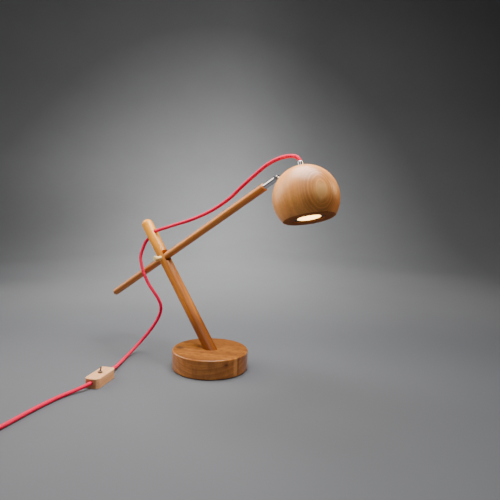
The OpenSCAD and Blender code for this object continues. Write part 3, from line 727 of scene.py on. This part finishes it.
@dataclass(frozen=True)
class Braid:
    """Braided textile sleeve, laid by the sleeve's own round and lengthways measures."""

    name: str = "crimson_braid"
    bright: Vec3 = (0.98, 0.003, 0.080)
    deep: Vec3 = (0.62, 0.001, 0.045)
    strands: int = 8
    lay: float = 5.2 * MM
    lobe_curve: float = 0.6
    lobe_shade_share: float = 0.8
    thread_scale: float = 3.0
    thread_along: float = 900.0
    thread_share: float = 0.5
    thread_height: float = 0.4
    cloud_scale: float = 30.0
    cloud_share: float = 0.25
    fuzz_scale: float = 2600.0
    fuzz_rough: float = 0.2
    fuzz_height: float = 0.25
    shade_edge: Span = (0.15, 0.85)
    roughness: float = 0.78
    specular: float = 0.15
    sheen: float = 0.05
    sheen_roughness: float = 0.4
    relief_depth: float = 0.22 * MM
    relief_strength: float = 0.8

    def material(self) -> bpy.types.Material:
        """Builds the sleeve's material.

        Returns:
            The material.
        """
        g = SurfaceGraph(self.name)
        place = g.place()
        weave = g.node("ShaderNodeUVMap", {"uv_map": WEAVE})
        onward = g.part(weave, Axis.Y)
        turn = g.part(weave, Axis.X) * float(self.strands)
        step = onward * (self.strands / 2.0 / self.lay)
        right_hand = turn + step
        left_hand = turn - step
        over = (right_hand.floor() + left_hand.floor()).mod(2.0)
        right_lobe = (right_hand * math.pi).wave().size()
        left_lobe = (left_hand * math.pi).wave().size()
        lobes = right_lobe * over + left_lobe * (1.0 - over)
        thread_at = g.join(right_hand * self.thread_scale, left_hand * self.thread_scale,
                           onward * self.thread_along)
        thread = g.noise(thread_at, 1.0)
        fuzz = g.noise(place, self.fuzz_scale)
        cloud = g.noise(place, self.cloud_scale)
        # Painted shade: the gaps between strands are darker than the crowns; the thread and cloud terms are
        # the yarn's own tone.
        shade = lobes ** self.lobe_curve * self.lobe_shade_share + thread.centred() * self.thread_share
        shade = shade + cloud.centred() * self.cloud_share
        height = lobes + thread * self.thread_height + fuzz * self.fuzz_height
        return g.finish(
            Base_Color=g.mix(shade.between(*self.shade_edge), self.deep, self.bright),
            Roughness=self.roughness + fuzz.centred() * self.fuzz_rough,
            Specular_IOR_Level=self.specular,
            Sheen_Weight=self.sheen,
            Sheen_Roughness=self.sheen_roughness,
            Normal=g.relief(height, self.relief_depth, self.relief_strength),
        )


@dataclass(frozen=True)
class Glow:
    """The lit face of the spot lamp, warmer towards its rim."""

    centre: Vec3
    radius: float
    name: str = "lit_lens"
    core: Vec3 = (1.0, 0.58, 0.155)
    rim: Vec3 = (1.0, 0.52, 0.120)
    rim_edge: Span = (0.6, 1.0)
    strength: float = 8.5
    clear: Vec3 = (0.9, 0.86, 0.78)
    frosted: Vec3 = (0.8, 0.76, 0.68)
    prism_scale: float = 900.0
    prism_edge: Span = (0.4, 0.7)
    prism_rough: float = 0.2
    roughness: float = 0.35

    def material(self) -> bpy.types.Material:
        """Builds the lens's material.

        Returns:
            The material.
        """
        g = SurfaceGraph(self.name)
        place = g.place()
        reach = g.distance(place, self.centre) / self.radius
        prisms = g.noise(place, self.prism_scale, 1.0)
        return g.finish(
            Base_Color=g.mix(prisms.between(*self.prism_edge), self.clear, self.frosted),
            Roughness=self.roughness + prisms.centred() * self.prism_rough,
            Emission_Color=g.mix(reach.between(*self.rim_edge), self.core, self.rim),
            Emission_Strength=self.strength,
        )


# Cord

class Lay(Enum):
    """How a stretch of cord lies."""

    LOOSE = "loose"
    HANGING = "hanging"
    COILED = "coiled"


class FarEnd(Enum):
    """What a stretch of cord runs into."""

    OBJECT = "object"
    FITTING = "fitting"
    PLUG = "plug"


class Body(Enum):
    """A body that a stretch of cord moves with."""

    STAND = "stand"
    SWING_ARM = "swing_arm"
    HEAD = "head"


def in_metres(route: Sequence[Vec3]) -> list[Vector]:
    """A route given in millimetres, as vectors in metres."""
    return [Vector(p) * MM for p in route]


def run_length(points: Sequence[Vector]) -> float:
    """Length of a line of points."""
    return sum((b - a).length for a, b in zip(points, points[1:]))


def route_at(route: Sequence[Vector], i: int) -> Vector:
    """Point of a route, carried straight on past both ends.

    Args:
        route: the route's points.
        i: place in the route, from one before its first to one after its last.

    Returns:
        The point.
    """
    if i < 0:
        return 2 * route[0] - route[1]
    if i >= len(route):
        return 2 * route[-1] - route[-2]
    return route[i]


def smooth_points(route: Sequence[Vector], first: int, last: int, spacing: float) -> list[Vector]:
    """Points on a smooth curve through a route's points.

    Args:
        route: the route's points.
        first: place in the route to start from.
        last: place in the route to end at.
        spacing: greatest distance between points.

    Returns:
        The points, both ends included.
    """
    points: list[Vector] = []
    for i in range(first, last):
        a, b, c, d = (route_at(route, k) for k in (i - 1, i, i + 1, i + 2))
        steps = max(2, math.ceil((c - b).length / spacing))
        for k in range(steps):
            t = k / steps
            points.append(0.5 * (2 * b + (c - a) * t + (2 * a - 5 * b + 4 * c - d) * t ** 2
                                 + (3 * b - a - 3 * c + d) * t ** 3))
    points.append(route[last].copy())
    return points


@dataclass
class CordStretch:
    """One stretch of the braided cord as a tube along its points."""

    name: str
    points: list[Vector]
    nodes: tuple[str, ...]
    lay: Lay
    far_end: FarEnd
    on_it: tuple[str, ...] = ()
    diameter: float = CORD_DIAMETER
    sides: int = 20

    def build(self, finish: bpy.types.Material, start_at: float) -> bpy.types.Object:
        """Makes the tube with its weave measures.

        Args:
            finish: material of the sleeve.
            start_at: length of cord before this stretch, so that the weave runs on.

        Returns:
            The tube.
        """
        verts, lengths = self._rings(start_at)
        mesh = bpy.data.meshes.new(self.name)
        mesh.from_pydata(verts, [], self._faces())
        self._measure(mesh, lengths)
        tube = bpy.data.objects.new(self.name, mesh)
        bpy.context.scene.collection.objects.link(tube)
        mesh.materials.append(finish)
        return tube

    def _rings(self, start_at: float) -> tuple[list[Vector], list[float]]:
        """Lays rings of points round the cord's line.

        Args:
            start_at: length of cord before this stretch.

        Returns:
            The points ring by ring, and the length of cord at each ring.
        """
        verts: list[Vector] = []
        lengths: list[float] = []
        travelled = start_at
        tangent = (self.points[1] - self.points[0]).normalized()
        side = tangent.orthogonal().normalized()
        last = len(self.points) - 1
        for i, point in enumerate(self.points):
            ahead = (self.points[min(i + 1, last)] - self.points[max(i - 1, 0)]).normalized()
            side = (tangent.rotation_difference(ahead) @ side).normalized()
            tangent = ahead
            up = tangent.cross(side)
            if i:
                travelled += (point - self.points[i - 1]).length
            lengths.append(travelled)
            for k in range(self.sides):
                angle = math.tau * k / self.sides
                verts.append(point + self.diameter / 2 * (math.cos(angle) * side + math.sin(angle) * up))
        return verts, lengths

    def _faces(self) -> list[tuple[int, ...]]:
        """Joins the rings.

        Returns:
            The faces between rings, then the two end caps.
        """
        n = self.sides
        last = len(self.points) - 1
        faces: list[tuple[int, ...]] = [
            (i * n + k, i * n + (k + 1) % n, (i + 1) * n + (k + 1) % n, (i + 1) * n + k)
            for i in range(last) for k in range(n)
        ]
        faces.append(tuple(reversed(range(n))))
        faces.append(tuple(last * n + k for k in range(n)))
        return faces

    def _measure(self, mesh: bpy.types.Mesh, lengths: Sequence[float]) -> None:
        """Gives the tube its round and lengthways measures for the weave.

        Args:
            mesh: the tube's mesh.
            lengths: length of cord at each ring.
        """
        weave = mesh.uv_layers.new(name=WEAVE)
        for polygon in mesh.polygons:
            is_side = len(polygon.vertices) == 4
            wraps = is_side and any(v % self.sides == self.sides - 1 for v in polygon.vertices)
            for loop, vertex in zip(polygon.loop_indices, polygon.vertices):
                k = vertex % self.sides
                around = 1.0 if wraps and k == 0 else k / self.sides
                weave.data[loop].uv = (around, lengths[vertex // self.sides])
            polygon.use_smooth = is_side

    def declare(self, tube: bpy.types.Object) -> None:
        """Hides the CAD nodes that the tube stands for and logs its length.

        Args:
            tube: the tube of this stretch; not used.
        """
        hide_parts(*self.nodes)
        run_length(self.points)
        LOG.info("%s: %.0f mm of cord", self.name, run_length(self.points) / MM)


@dataclass
class LampCord:
    """The red cord from the ball to the plug; its route, coil and plug are placed in millimetres."""

    spacing: float = 1.5 * MM
    span_start: int = 12
    drop_start: int = 19
    head_share: tuple[Vec3, Vec3] = ((0.165, 0.0, 0.412), (0.060, 0.0, 0.350))
    arm_share: tuple[Vec3, Vec3] = ((0.020, 0.0, 0.325), (-0.150, 0.0, 0.265))
    lamp_route: tuple[Vec3, ...] = (
        (191.6, 7.4, 402.2), (190.2, 7.9, 406.5), (187.5, 8, 410.5), (183.7, 7.6, 413.4), (179, 7, 415),
        (172.5, 6.5, 415.5), (165, 5.5, 415), (156.5, 4.5, 413.5), (147, 3.5, 410.5), (133, 2, 404.5),
        (115, 0.5, 393.5), (72, 0, 362), (41, 0, 338), (-1, 0, 314), (-54, 0, 293), (-108, 0, 277),
        (-135, 0, 269), (-152, 0, 264), (-163.5, 0, 259.8), (-173.5, 0, 252.5), (-183, 0, 245),
        (-192, -2, 235.5), (-197.7, -5, 222), (-199.8, -10.2, 203), (-195, -12.4, 187),
        (-186.5, -13.2, 169.5), (-172.2, -12.4, 147.6), (-156.8, -10, 130.8), (-145.4, -6.5, 115.4),
        (-141, -4, 100), (-144.5, -5, 81), (-155.5, -14, 55), (-169.8, -32.5, 25.8), (-171, -55.6, 9.6),
        (-162.5, -77.3, 4.2), (-143, -107, 4), (-124.5, -133.5, 5.2), (-112.8, -149.5, 8.4),
        (-107.4, -159, 9.8), (-104.4, -165.6, 10), (-101.5, -171.9, 10),
    )
    lead_route: tuple[Vec3, ...] = (
        (-79.5, -219.1, 10), (-76.6, -225.4, 10), (-75.6, -234, 9.2), (-76.8, -244, 7.2), (-78.2, -255, 5.2),
        (-78.6, -266, 4.2), (-77.4, -281, 3.7), (-74, -300, 3.6), (-62, -342, 3.6), (-45, -392, 3.6),
        (-37.5, -415, 3.9), (-32, -432.6, 4.4),
    )
    coil_centre: Span = (-65.0, -452.0)
    coil_start: float = 20.0
    coil_turns: float = 3.25
    coil_back: float = 1.5
    coil_inner: float = 26.5
    coil_pitch: float = 7.2
    coil_low: float = 4.4
    coil_climb: float = 0.5
    coil_steps: int = 96
    join_steps: int = 4
    plug_start: Vec3 = (-84.0, -503.0, 7.0)
    plug_yaw: float = 200.0
    plug_run_in: float = 2 * CORD_DIAMETER
    plug_nodes: tuple[str, ...] = ("coil_tie", "plug_relief", "plug_body", "plug_pins")
    switch_nodes: tuple[str, ...] = (
        "switch_block", "switch_cover", "cover_screws", "toggle_case", "toggle_nut", "toggle_lever",
    )

    def coil_at(self, turn: float) -> Vector:
        """Place on the coil, which winds inwards below and outwards above.

        Args:
            turn: turns from the coil's start.

        Returns:
            The place in metres.
        """
        angle = math.radians(self.coil_start - 360 * turn)
        past_middle = turn - self.coil_back
        radius = self.coil_inner + self.coil_pitch * abs(past_middle)
        rise = min(1.0, max(0.0, past_middle / self.coil_climb + 0.5))
        height = self.coil_low + self.coil_pitch * rise * rise * (3 - 2 * rise)
        x, y = self.coil_centre
        return MM * Vector((x + radius * math.cos(angle), y + radius * math.sin(angle), height))

    def mains_points(self) -> list[Vector]:
        """Follows the cord from the switch through the coil to the plug.

        Returns:
            Points along it.
        """
        lead = in_metres(self.lead_route)
        count = round(self.coil_turns * self.coil_steps)
        coil = [self.coil_at(i / self.coil_steps) for i in range(count + 1)]
        heading = (coil[-1] - coil[-2]).normalized()
        yaw = math.radians(self.plug_yaw)
        towards_plug = Vector((math.cos(yaw), math.sin(yaw), 0.0))
        plug = Vector(self.plug_start) * MM
        end = [coil[-1], coil[-1] + self.plug_run_in * heading, plug - self.plug_run_in * towards_plug, plug]
        points = smooth_points(lead, 0, len(lead) - 1, self.spacing)
        points += [lead[-1].lerp(coil[0], k / self.join_steps) for k in range(1, self.join_steps)]
        return points + coil[:-1] + smooth_points(end, 0, len(end) - 1, self.spacing)

    def build(self, finish: bpy.types.Material) -> None:
        """Builds the four stretches, bakes the upper two in place and attaches the lower two to the stand.

        Args:
            finish: material of the sleeve.
        """
        route = in_metres(self.lamp_route)
        over_shade = smooth_points(route, 0, self.span_start, self.spacing)
        over_arm = smooth_points(route, self.span_start, self.drop_start, self.spacing)
        to_switch = smooth_points(route, self.drop_start, len(route) - 1, self.spacing)
        head = CordStretch("cord_over_shade", over_shade, ("cord_head",), Lay.LOOSE, FarEnd.OBJECT)
        span = CordStretch("cord_over_arm", over_arm, ("cord_span",), Lay.HANGING, FarEnd.OBJECT)
        drop = CordStretch("cord_to_switch", to_switch, ("cord_drop",), Lay.HANGING, FarEnd.FITTING,
                           self.switch_nodes)
        mains = CordStretch("cord_to_plug", self.mains_points(), ("cord_lead", "cord_coil", "cord_end"),
                            Lay.COILED, FarEnd.PLUG, self.plug_nodes)
        before = 0.0
        for stretch in (head, span, drop, mains):
            tube = stretch.build(finish, before)
            before += run_length(stretch.points)
            if stretch is head:
                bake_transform(tube)
            elif stretch is span:
                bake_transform(tube)
            else:
                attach(tube, Body.STAND.value)
            stretch.declare(tube)


# Studio

@dataclass(frozen=True)
class PhotoCamera:
    """The camera at the photograph's place, in degrees, metres and millimetres of lens."""

    azimuth: float = 38.274
    elevation: float = 7.065
    roll: float = 1.697
    distance: float = 0.980109
    target: Vec3 = (0.093531, 0.0, 0.245448)
    lens: float = 38.4
    sensor: float = 36.0
    nearest: float = 0.02

    def build(self) -> None:
        """Makes the camera and gives it to the scene."""
        a, e, r = (math.radians(v) for v in (self.azimuth, self.elevation, self.roll))
        back = Vector((math.sin(a) * math.cos(e), -math.cos(a) * math.cos(e), math.sin(e)))
        right = Vector((math.cos(a), math.sin(a), 0.0))
        up = back.cross(right)
        x_axis = right * math.cos(r) + up * math.sin(r)
        y_axis = up * math.cos(r) - right * math.sin(r)
        data = bpy.data.cameras.new("photo_camera")
        data.lens = self.lens
        data.sensor_width = self.sensor
        data.clip_start = self.nearest
        camera = bpy.data.objects.new("photo_camera", data)
        bpy.context.scene.collection.objects.link(camera)
        turn = Matrix((x_axis, y_axis, back)).transposed().to_4x4()
        camera.matrix_world = Matrix.Translation(Vector(self.target) + back * self.distance) @ turn
        bpy.context.scene.camera = camera


@dataclass(frozen=True)
class Softbox:
    """One soft studio light, in metres, watts and degrees."""

    name: str
    place: Vec3
    aim: Vec3
    width: float
    height: float
    power: float
    colour: Vec3 = (1.0, 1.0, 1.0)
    spread: float = 180.0

    def build(self) -> None:
        """Makes the light and turns it to what it lights."""
        data = bpy.data.lights.new(self.name, "AREA")
        data.shape = "RECTANGLE"
        data.size = self.width
        data.size_y = self.height
        data.energy = self.power
        data.color = self.colour
        data.spread = math.radians(self.spread)
        light = bpy.data.objects.new(self.name, data)
        light.location = self.place
        light.visible_camera = False
        light.rotation_euler = (Vector(self.aim) - Vector(self.place)).to_track_quat("-Z", "Y").to_euler()
        bpy.context.scene.collection.objects.link(light)


@dataclass(frozen=True)
class Paper:
    """Grey paper with a painted pool of light on the wall behind the lamp and painted shade towards both
    sides.
    """

    name: str = "studio_paper"
    behind: Vec3 = (-0.619, 0.785, 0.0)
    along: Vec3 = (0.785, 0.619, 0.0)
    wall_from: Span = (0.15, 1.7)
    far_from: Span = (1.4, 2.6)
    pool_at: Span = (-0.17, 0.05)
    pool_reach: Span = (0.90, 0.95)
    floor_tone: Vec3 = (0.119, 0.123, 0.133)
    wall_tone: Vec3 = (0.74, 0.742, 0.75)
    dim: float = 0.34
    right_shade: Span = (-0.15, 0.6)
    left_shade: Span = (-0.3, -1.2)
    left_fade_below: Span = (0.5, 0.05)
    side_shade: float = 0.35
    mottle_scale: float = 5.0
    mottle_share: float = 0.12
    mottle_rough: float = 0.1
    roughness: float = 0.8
    specular: float = 0.2

    def material(self) -> bpy.types.Material:
        """Builds the paper's material.

        Returns:
            The material.
        """
        g = SurfaceGraph(self.name)
        place = g.place()
        reach = g.dot(place, self.along)
        height = g.dot(place, UPWARDS)
        # Painted light: a pale pool on the wall behind the lamp.
        aside = (reach - self.pool_at[0]) / self.pool_reach[0]
        rise = (height - self.pool_at[1]).top(0.0) / self.pool_reach[1]
        light_pool = ((aside ** 2.0 + rise ** 2.0) * -0.5).exp().top(self.dim)
        wall = g.dot(place, self.behind).between(*self.wall_from)
        # Painted shade: the paper is darker towards both sides.
        left = reach.between(*self.left_shade) * height.between(*self.left_fade_below)
        side = (reach.between(*self.right_shade) + left) * self.side_shade
        mottle = g.noise(place, self.mottle_scale, 4.0, 0.6)
        grey = (1.0 - wall * (1.0 - light_pool)) * (1.0 - side) * (1.0 + mottle.centred() * self.mottle_share)
        far = g.length(g.vector("MULTIPLY", place, (1.0, 1.0, 0.0))).between(*self.far_from)
        tone = g.mix(wall.top(far), self.floor_tone, self.wall_tone)
        return g.finish(
            Base_Color=g.mix(1.0, tone, g.join(grey, grey, grey), Blend.MULTIPLY),
            Roughness=self.roughness + mottle.centred() * self.mottle_rough,
            Specular_IOR_Level=self.specular,
        )


@dataclass
class Studio:
    """Plain paper sweep all round, grey surroundings and soft lights."""

    floor_level: float = -0.3 * MM
    flat_radius: float = 1.6
    flat_rings: int = 4
    bend_radius: float = 1.2
    bend_steps: int = 24
    wall_top: float = 3.2
    around: int = 128
    paper: Paper = field(default_factory=Paper)
    horizon_tone: Vec3 = (0.22, 0.22, 0.225)
    zenith_tone: Vec3 = (0.12, 0.12, 0.125)
    zenith_from: float = 0.6
    world_strength: float = 1.0
    boxes: tuple[Softbox, ...] = (
        Softbox("overhead_box", place=(0.04, 0.07, 1.05), aim=(0.04, 0.03, 0.2),
                width=0.7, height=0.7, power=27.5),
        Softbox("left_box", place=(-1.10, -0.30, 0.45), aim=(0.0, 0.0, 0.3),
                width=0.7, height=0.7, power=1.8, spread=120.0),
        Softbox("high_left_box", place=(-0.85, -0.40, 1.00), aim=(0.0, 0.0, 0.35),
                width=1.2, height=1.2, power=4.6, colour=(1.0, 0.90, 0.74), spread=70.0),
        Softbox("rim_beam", place=(0.80, 0.95, 0.80), aim=(0.21, 0.0, 0.37),
                width=0.4, height=0.6, power=0.45, colour=(1.0, 0.62, 0.30), spread=35.0),
        Softbox("front_fill", place=(0.70, -1.20, 1.20), aim=(0.08, 0.0, 0.25),
                width=1.4, height=1.0, power=4.6),
        Softbox("wall_box", place=(-0.35, 0.85, 1.40), aim=(-1.35, 1.75, 0.35),
                width=0.6, height=0.6, power=6.5, spread=120.0),
    )

    def build(self) -> None:
        """Makes the sweep, the surroundings and the lights."""
        self._sweep()
        self._surroundings()
        for box in self.boxes:
            box.build()

    def _profile(self) -> list[Span]:
        """Draws the sweep from its middle outwards.

        Returns:
            Radius and height of each ring.
        """
        profile = [(self.flat_radius * k / self.flat_rings, 0.0) for k in range(1, self.flat_rings)]
        for k in range(self.bend_steps + 1):
            turn = math.pi / 2 * k / self.bend_steps
            profile.append((self.flat_radius + self.bend_radius * math.sin(turn),
                            self.bend_radius * (1 - math.cos(turn))))
        profile.append((self.flat_radius + self.bend_radius, self.wall_top))
        return profile

    def _sweep(self) -> None:
        """Makes a flat floor that bends up into a round wall."""
        n = self.around
        profile = self._profile()
        verts: list[Vec3] = [(0.0, 0.0, self.floor_level)]
        for radius, height in profile:
            for k in range(n):
                angle = math.tau * k / n
                verts.append((radius * math.cos(angle), radius * math.sin(angle), self.floor_level + height))
        faces: list[tuple[int, ...]] = [(0, 1 + k, 1 + (k + 1) % n) for k in range(n)]
        for row in range(len(profile) - 1):
            low, high = 1 + row * n, 1 + (row + 1) * n
            faces += [(low + k, high + k, high + (k + 1) % n, low + (k + 1) % n) for k in range(n)]
        mesh = bpy.data.meshes.new("studio_sweep")
        mesh.from_pydata(verts, [], faces)
        mesh.shade_smooth()
        sweep = bpy.data.objects.new("studio_sweep", mesh)
        bpy.context.scene.collection.objects.link(sweep)
        mesh.materials.append(self.paper.material())

    def _surroundings(self) -> None:
        """Makes grey surroundings, darker overhead."""
        world = bpy.data.worlds.new("studio_grey")
        world.use_nodes = True
        g = Graph(world.node_tree)
        height = g.part(g.node("ShaderNodeTexCoord", out="Generated"), Axis.Z)
        tone = g.ramp(height, [(0.0, self.horizon_tone), (self.zenith_from, self.zenith_tone)])
        background = world.node_tree.nodes["Background"]
        g.feed(background.inputs["Color"], tone)
        g.feed(background.inputs["Strength"], self.world_strength)
        bpy.context.scene.world = world


# Dressing the solids

def dress(finish: bpy.types.Material, *nodes: str) -> None:
    """Gives CAD nodes a finish.

    Args:
        finish: the material.
        nodes: names of the nodes.
    """
    for node in nodes:
        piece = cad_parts[node]
        if not piece.data.materials:
            piece.data.materials.append(finish)
        for slot in piece.material_slots:
            slot.material = finish
        LOG.info("%s wears %s", node, finish.name)


@dataclass(frozen=True)
class SharedFinishes:
    """Finishes that several sub-assemblies wear."""

    chrome: bpy.types.Material
    brass: bpy.types.Material
    steel: bpy.types.Material

    @classmethod
    def build(cls) -> "SharedFinishes":
        """Builds the metals.

        Returns:
            The shared finishes.
        """
        chrome = Metal("bright_chrome", colour=(0.66, 0.665, 0.68), dull=(0.54, 0.545, 0.56),
                       roughness=0.13, haze=0.05, line_scale=900.0)
        brass = Metal("turned_brass", colour=(1.0, 0.80, 0.40), dull=(1.0, 0.70, 0.28),
                      roughness=0.52, haze=0.10, line_scale=1600.0, axis=(0.0, 1.0, 0.0))
        steel = Metal("zinc_steel", colour=(0.55, 0.56, 0.58), dull=(0.40, 0.41, 0.43),
                      roughness=0.34, haze=0.14, line_scale=1200.0)
        return cls(chrome.material(), brass.material(), steel.material())


@dataclass
class Stand:
    """Base, leaning post and pivot clamp."""

    lean: float = 39.0
    post_pith: Vec3 = (0.035, 0.03, 0.03)
    post_painted_light_and_shade: tuple[Mark, ...] = (
        # Painted light: the upper part of the post is made paler.
        Mark((-0.1800, 0.0, 0.2750), (0.075, 0.060, 0.110), (1.0, 0.40, 0.022), 0.80),
        # Painted shade: the post is darker towards its foot.
        Mark((-0.0120, 0.0, 0.0420), (0.090, 0.060, 0.110), (0.15, 0.036, 0.003), 0.85),
    )
    # Painted shade: the base's flat top is darkened.
    base_top_painted_shade: EndFace = EndFace((0.0, 0.0, 0.0376), (0.0, 0.0, -1.0), shade=(0.52, 0.50, 0.42))
    base_marks: tuple[Mark, ...] = (
        Mark((0.0688, -0.0299, 0.0278), (0.0055, 0.0055, 0.0042), (0.075, 0.022, 0.006), 0.65),
        Mark((0.0744, -0.0090, 0.0200), (0.0090, 0.0080, 0.0280), (0.80, 0.36, 0.09), 0.55),
        Mark((0.0749, -0.0030, 0.0180), (0.0050, 0.0036, 0.0260), (0.12, 0.032, 0.006), 0.55),
        Mark((-0.0490, -0.0370, 0.0380), (0.0150, 0.0120, 0.0060), (0.10, 0.045, 0.015), 0.8),
    )
    felt: Moulded = Moulded("black_felt", colour=(0.018, 0.018, 0.018), worn=(0.035, 0.034, 0.033),
                            roughness=0.95, skin_scale=2200.0, skin_depth=0.25 * MM, sheen=0.4)

    def base_wood(self) -> Oak:
        """Oak of the base, with its grain lying flat."""
        return Oak(
            "oak_base", pith=(0.0, 0.06, -0.24), grain=(0.9, 0.44, 0.0),
            pale=(0.62, 0.245, 0.046), honey=(0.43, 0.142, 0.023), umber=(0.15, 0.038, 0.007),
            ring_pitch=5.0 * MM, ring_share=0.40, wobble=2.6 * MM, band_pitch=10.0 * MM, band_share=0.40,
            blotch_share=0.55, coat=0.70, coat_roughness=0.17, marks=self.base_marks, end_face=self.base_top_painted_shade,
        )

    def post_wood(self) -> Oak:
        """Oak of the post, with its grain along the lean."""
        lean = math.radians(self.lean)
        return Oak(
            "oak_post", pith=self.post_pith, grain=(-math.sin(lean), 0.0, math.cos(lean)),
            ring_pitch=2.6 * MM, band_pitch=5.0 * MM, band_share=0.55, coat=0.60, coat_roughness=0.17,
            marks=self.post_painted_light_and_shade,
        )

    def dress(self, shared: SharedFinishes) -> None:
        """Gives the stand its finishes.

        Args:
            shared: the metals.
        """
        dress(self.base_wood().material(), "base")
        dress(self.post_wood().material(), "post")
        dress(self.felt.material(), "felt_pad")
        dress(shared.brass, "pivot_bolt", "pivot_washers", "clamp_nut")
        dress(shared.steel, "ballast_disc", "ballast_screws", "post_screw")


@dataclass
class SwingArm:
    """The arm and its chromed tube."""

    rise: float = 31.0
    twist: float = 0.02
    pith: Vec3 = (-0.1362, 0.03, 0.1563)

    def wood(self) -> Oak:
        """Oak of the arm, with its grain along it."""
        rise = math.radians(self.rise)
        return Oak(
            "oak_arm", pith=self.pith, grain=(math.cos(rise), self.twist, math.sin(rise)),
            pale=(0.82, 0.315, 0.050), honey=(0.60, 0.190, 0.024), ring_pitch=2.4 * MM, band_pitch=4.0 * MM,
            band_share=0.40, specular=0.30, coat=0.34, coat_roughness=0.25,
        )

    def dress(self, shared: SharedFinishes) -> None:
        """Gives the arm its finishes."""
        dress(self.wood().material(), "arm")
        dress(shared.chrome, "arm_tube")


@dataclass
class Head:
    """The ball shade with its lamp, knuckle and gland."""

    centre: Vec3 = (0.21027, 0.0, 0.34460)
    axis: Vec3 = (-0.3057, 0.1206, 0.9444)
    mouth_depth: float = 0.0352
    lens_depth: float = 0.0335
    lens_radius: float = 0.020
    grain_eye: Vec3 = (48.1 * MM, -30.2 * MM, 16.0 * MM)
    pith_reach: float = 1.8
    ring_profile: Profile = ((0.0, 0.0), (0.14, 0.7), (0.55, 1.0), (0.84, 0.8), (1.0, 0.0))
    ring_fade: Span = (0.010, 0.034)
    underside_shade_reach: float = 0.050
    # Painted shade on the upper left front of the ball.
    painted_cheek_shade: Mark = Mark((0.2167, -0.0480, 0.3749), (0.034, 0.038, 0.034), (0.48, 0.170, 0.042), 0.50)
    lamp_body: Moulded = Moulded("lamp_shell_skin", colour=(0.050, 0.036, 0.026), worn=(0.075, 0.055, 0.042),
                                 roughness=0.42, skin_scale=800.0, skin_depth=0.02 * MM)
    fired_clay: Moulded = Moulded("porcelain_skin", colour=(0.84, 0.81, 0.74), worn=(0.72, 0.69, 0.62),
                                  roughness=0.55, skin_scale=900.0, skin_depth=0.04 * MM)

    def down(self, depth: float) -> Vec3:
        """Place below the ball's centre, along its axis."""
        return tuple(Vector(self.centre) - depth * Vector(self.axis))

    def marks(self) -> tuple[Mark, ...]:
        """Pale eye of the grain, partly a painted highlight, with painted shade on the cheek and under the
        ball.

        Returns:
            The marks in the ball's wood.
        """
        eye = tuple(Vector(self.centre) + Vector(self.grain_eye))
        return (
            # The grain's pale eye, made paler still as a painted highlight.
            Mark(eye, (0.017, 0.017, 0.022), (1.0, 0.56, 0.20), 0.60),
            self.painted_cheek_shade,
            # Painted shade: the ball is darker underneath.
            Mark(self.down(self.underside_shade_reach), (0.066, 0.066, 0.046), (0.25, 0.080, 0.020), 0.82),
        )

    def wood(self) -> Oak:
        """Oak of the ball, with its pith outside it so that the rings show as an eye.

        Returns:
            The wood.
        """
        eye = Vector(self.grain_eye)
        eye_radius = (self.pith_reach - 1.0) * eye.cross(Vector(self.axis)).length
        return Oak(
            "oak_ball", pith=tuple(Vector(self.centre) + self.pith_reach * eye), grain=self.axis,
            pale=(0.92, 0.415, 0.108), honey=(0.79, 0.295, 0.062), umber=(0.25, 0.076, 0.014),
            ring_pitch=3.6 * MM, ring_share=0.66, ring_profile=self.ring_profile,
            ring_fade=tuple(eye_radius + reach for reach in self.ring_fade),
            band_pitch=11.0 * MM, band_share=0.22, wobble=2.1 * MM, roughness=0.46, coat=0.65,
            coat_roughness=0.33, marks=self.marks(),
            # The mouth's end grain is darkened: partly the wood's own tone, partly painted shade under the
            # ball.
            end_face=EndFace(self.centre, self.axis, self.mouth_depth),
        )

    def dress(self, shared: SharedFinishes) -> None:
        """Gives the head its finishes.

        Args:
            shared: the metals.
        """
        dress(self.wood().material(), "shade")
        dress(Glow(self.down(self.lens_depth), self.lens_radius).material(), "lamp_lens")
        dress(self.lamp_body.material(), "spot_lamp")
        dress(self.fired_clay.material(), "lamp_holder")
        dress(shared.chrome, "head_link", "knuckle_screw", "cord_gland")
        dress(shared.brass, "stem_insert")
        dress(shared.steel, "lamp_pins", "holder_screws", "gland_nut")


@dataclass
class Switch:
    """The in-line switch."""

    wood: Beech = Beech()
    toggle: Metal = Metal("dark_steel", colour=(0.16, 0.155, 0.15), dull=(0.10, 0.098, 0.095),
                          roughness=0.32, haze=0.12, line_scale=1200.0)

    def dress(self, shared: SharedFinishes) -> None:
        """Gives the switch its finishes.

        Args:
            shared: the metals.
        """
        dress(self.wood.material(), "switch_block", "switch_cover")
        dress(self.toggle.material(), "toggle_nut", "toggle_lever")
        dress(shared.steel, "toggle_case", "cover_screws")


@dataclass
class Plug:
    """The plug and the coil's tie."""

    body: Moulded = Moulded("plug_plastic_skin", colour=(0.022, 0.022, 0.023), worn=(0.045, 0.045, 0.046),
                            roughness=0.42, skin_scale=1400.0, skin_depth=0.03 * MM)
    relief: Moulded = Moulded("plug_rubber_skin", colour=(0.018, 0.018, 0.018), worn=(0.035, 0.034, 0.033),
                              roughness=0.7, skin_scale=1800.0, skin_depth=0.04 * MM)
    strap: Moulded = Moulded("tie_strap", colour=(0.02, 0.02, 0.022), worn=(0.05, 0.05, 0.052),
                             roughness=0.9, skin_scale=2600.0, skin_depth=0.1 * MM, sheen=0.3)

    def dress(self, shared: SharedFinishes) -> None:
        """Gives the plug its finishes.

        Args:
            shared: the metals.
        """
        dress(self.body.material(), "plug_body")
        dress(self.relief.material(), "plug_relief")
        dress(self.strap.material(), "coil_tie")
        dress(shared.steel, "plug_pins")


def main() -> None:
    """Builds camera, cord and studio and dresses each sub-assembly."""
    logging.basicConfig(level=logging.INFO, format="%(name)s: %(message)s")
    PhotoCamera().build()
    LampCord().build(Braid().material())
    Studio().build()
    shared = SharedFinishes.build()
    for part in (Stand(), SwingArm(), Head(), Switch(), Plug()):
        part.dress(shared)


if __name__ == "__main__":
    main()
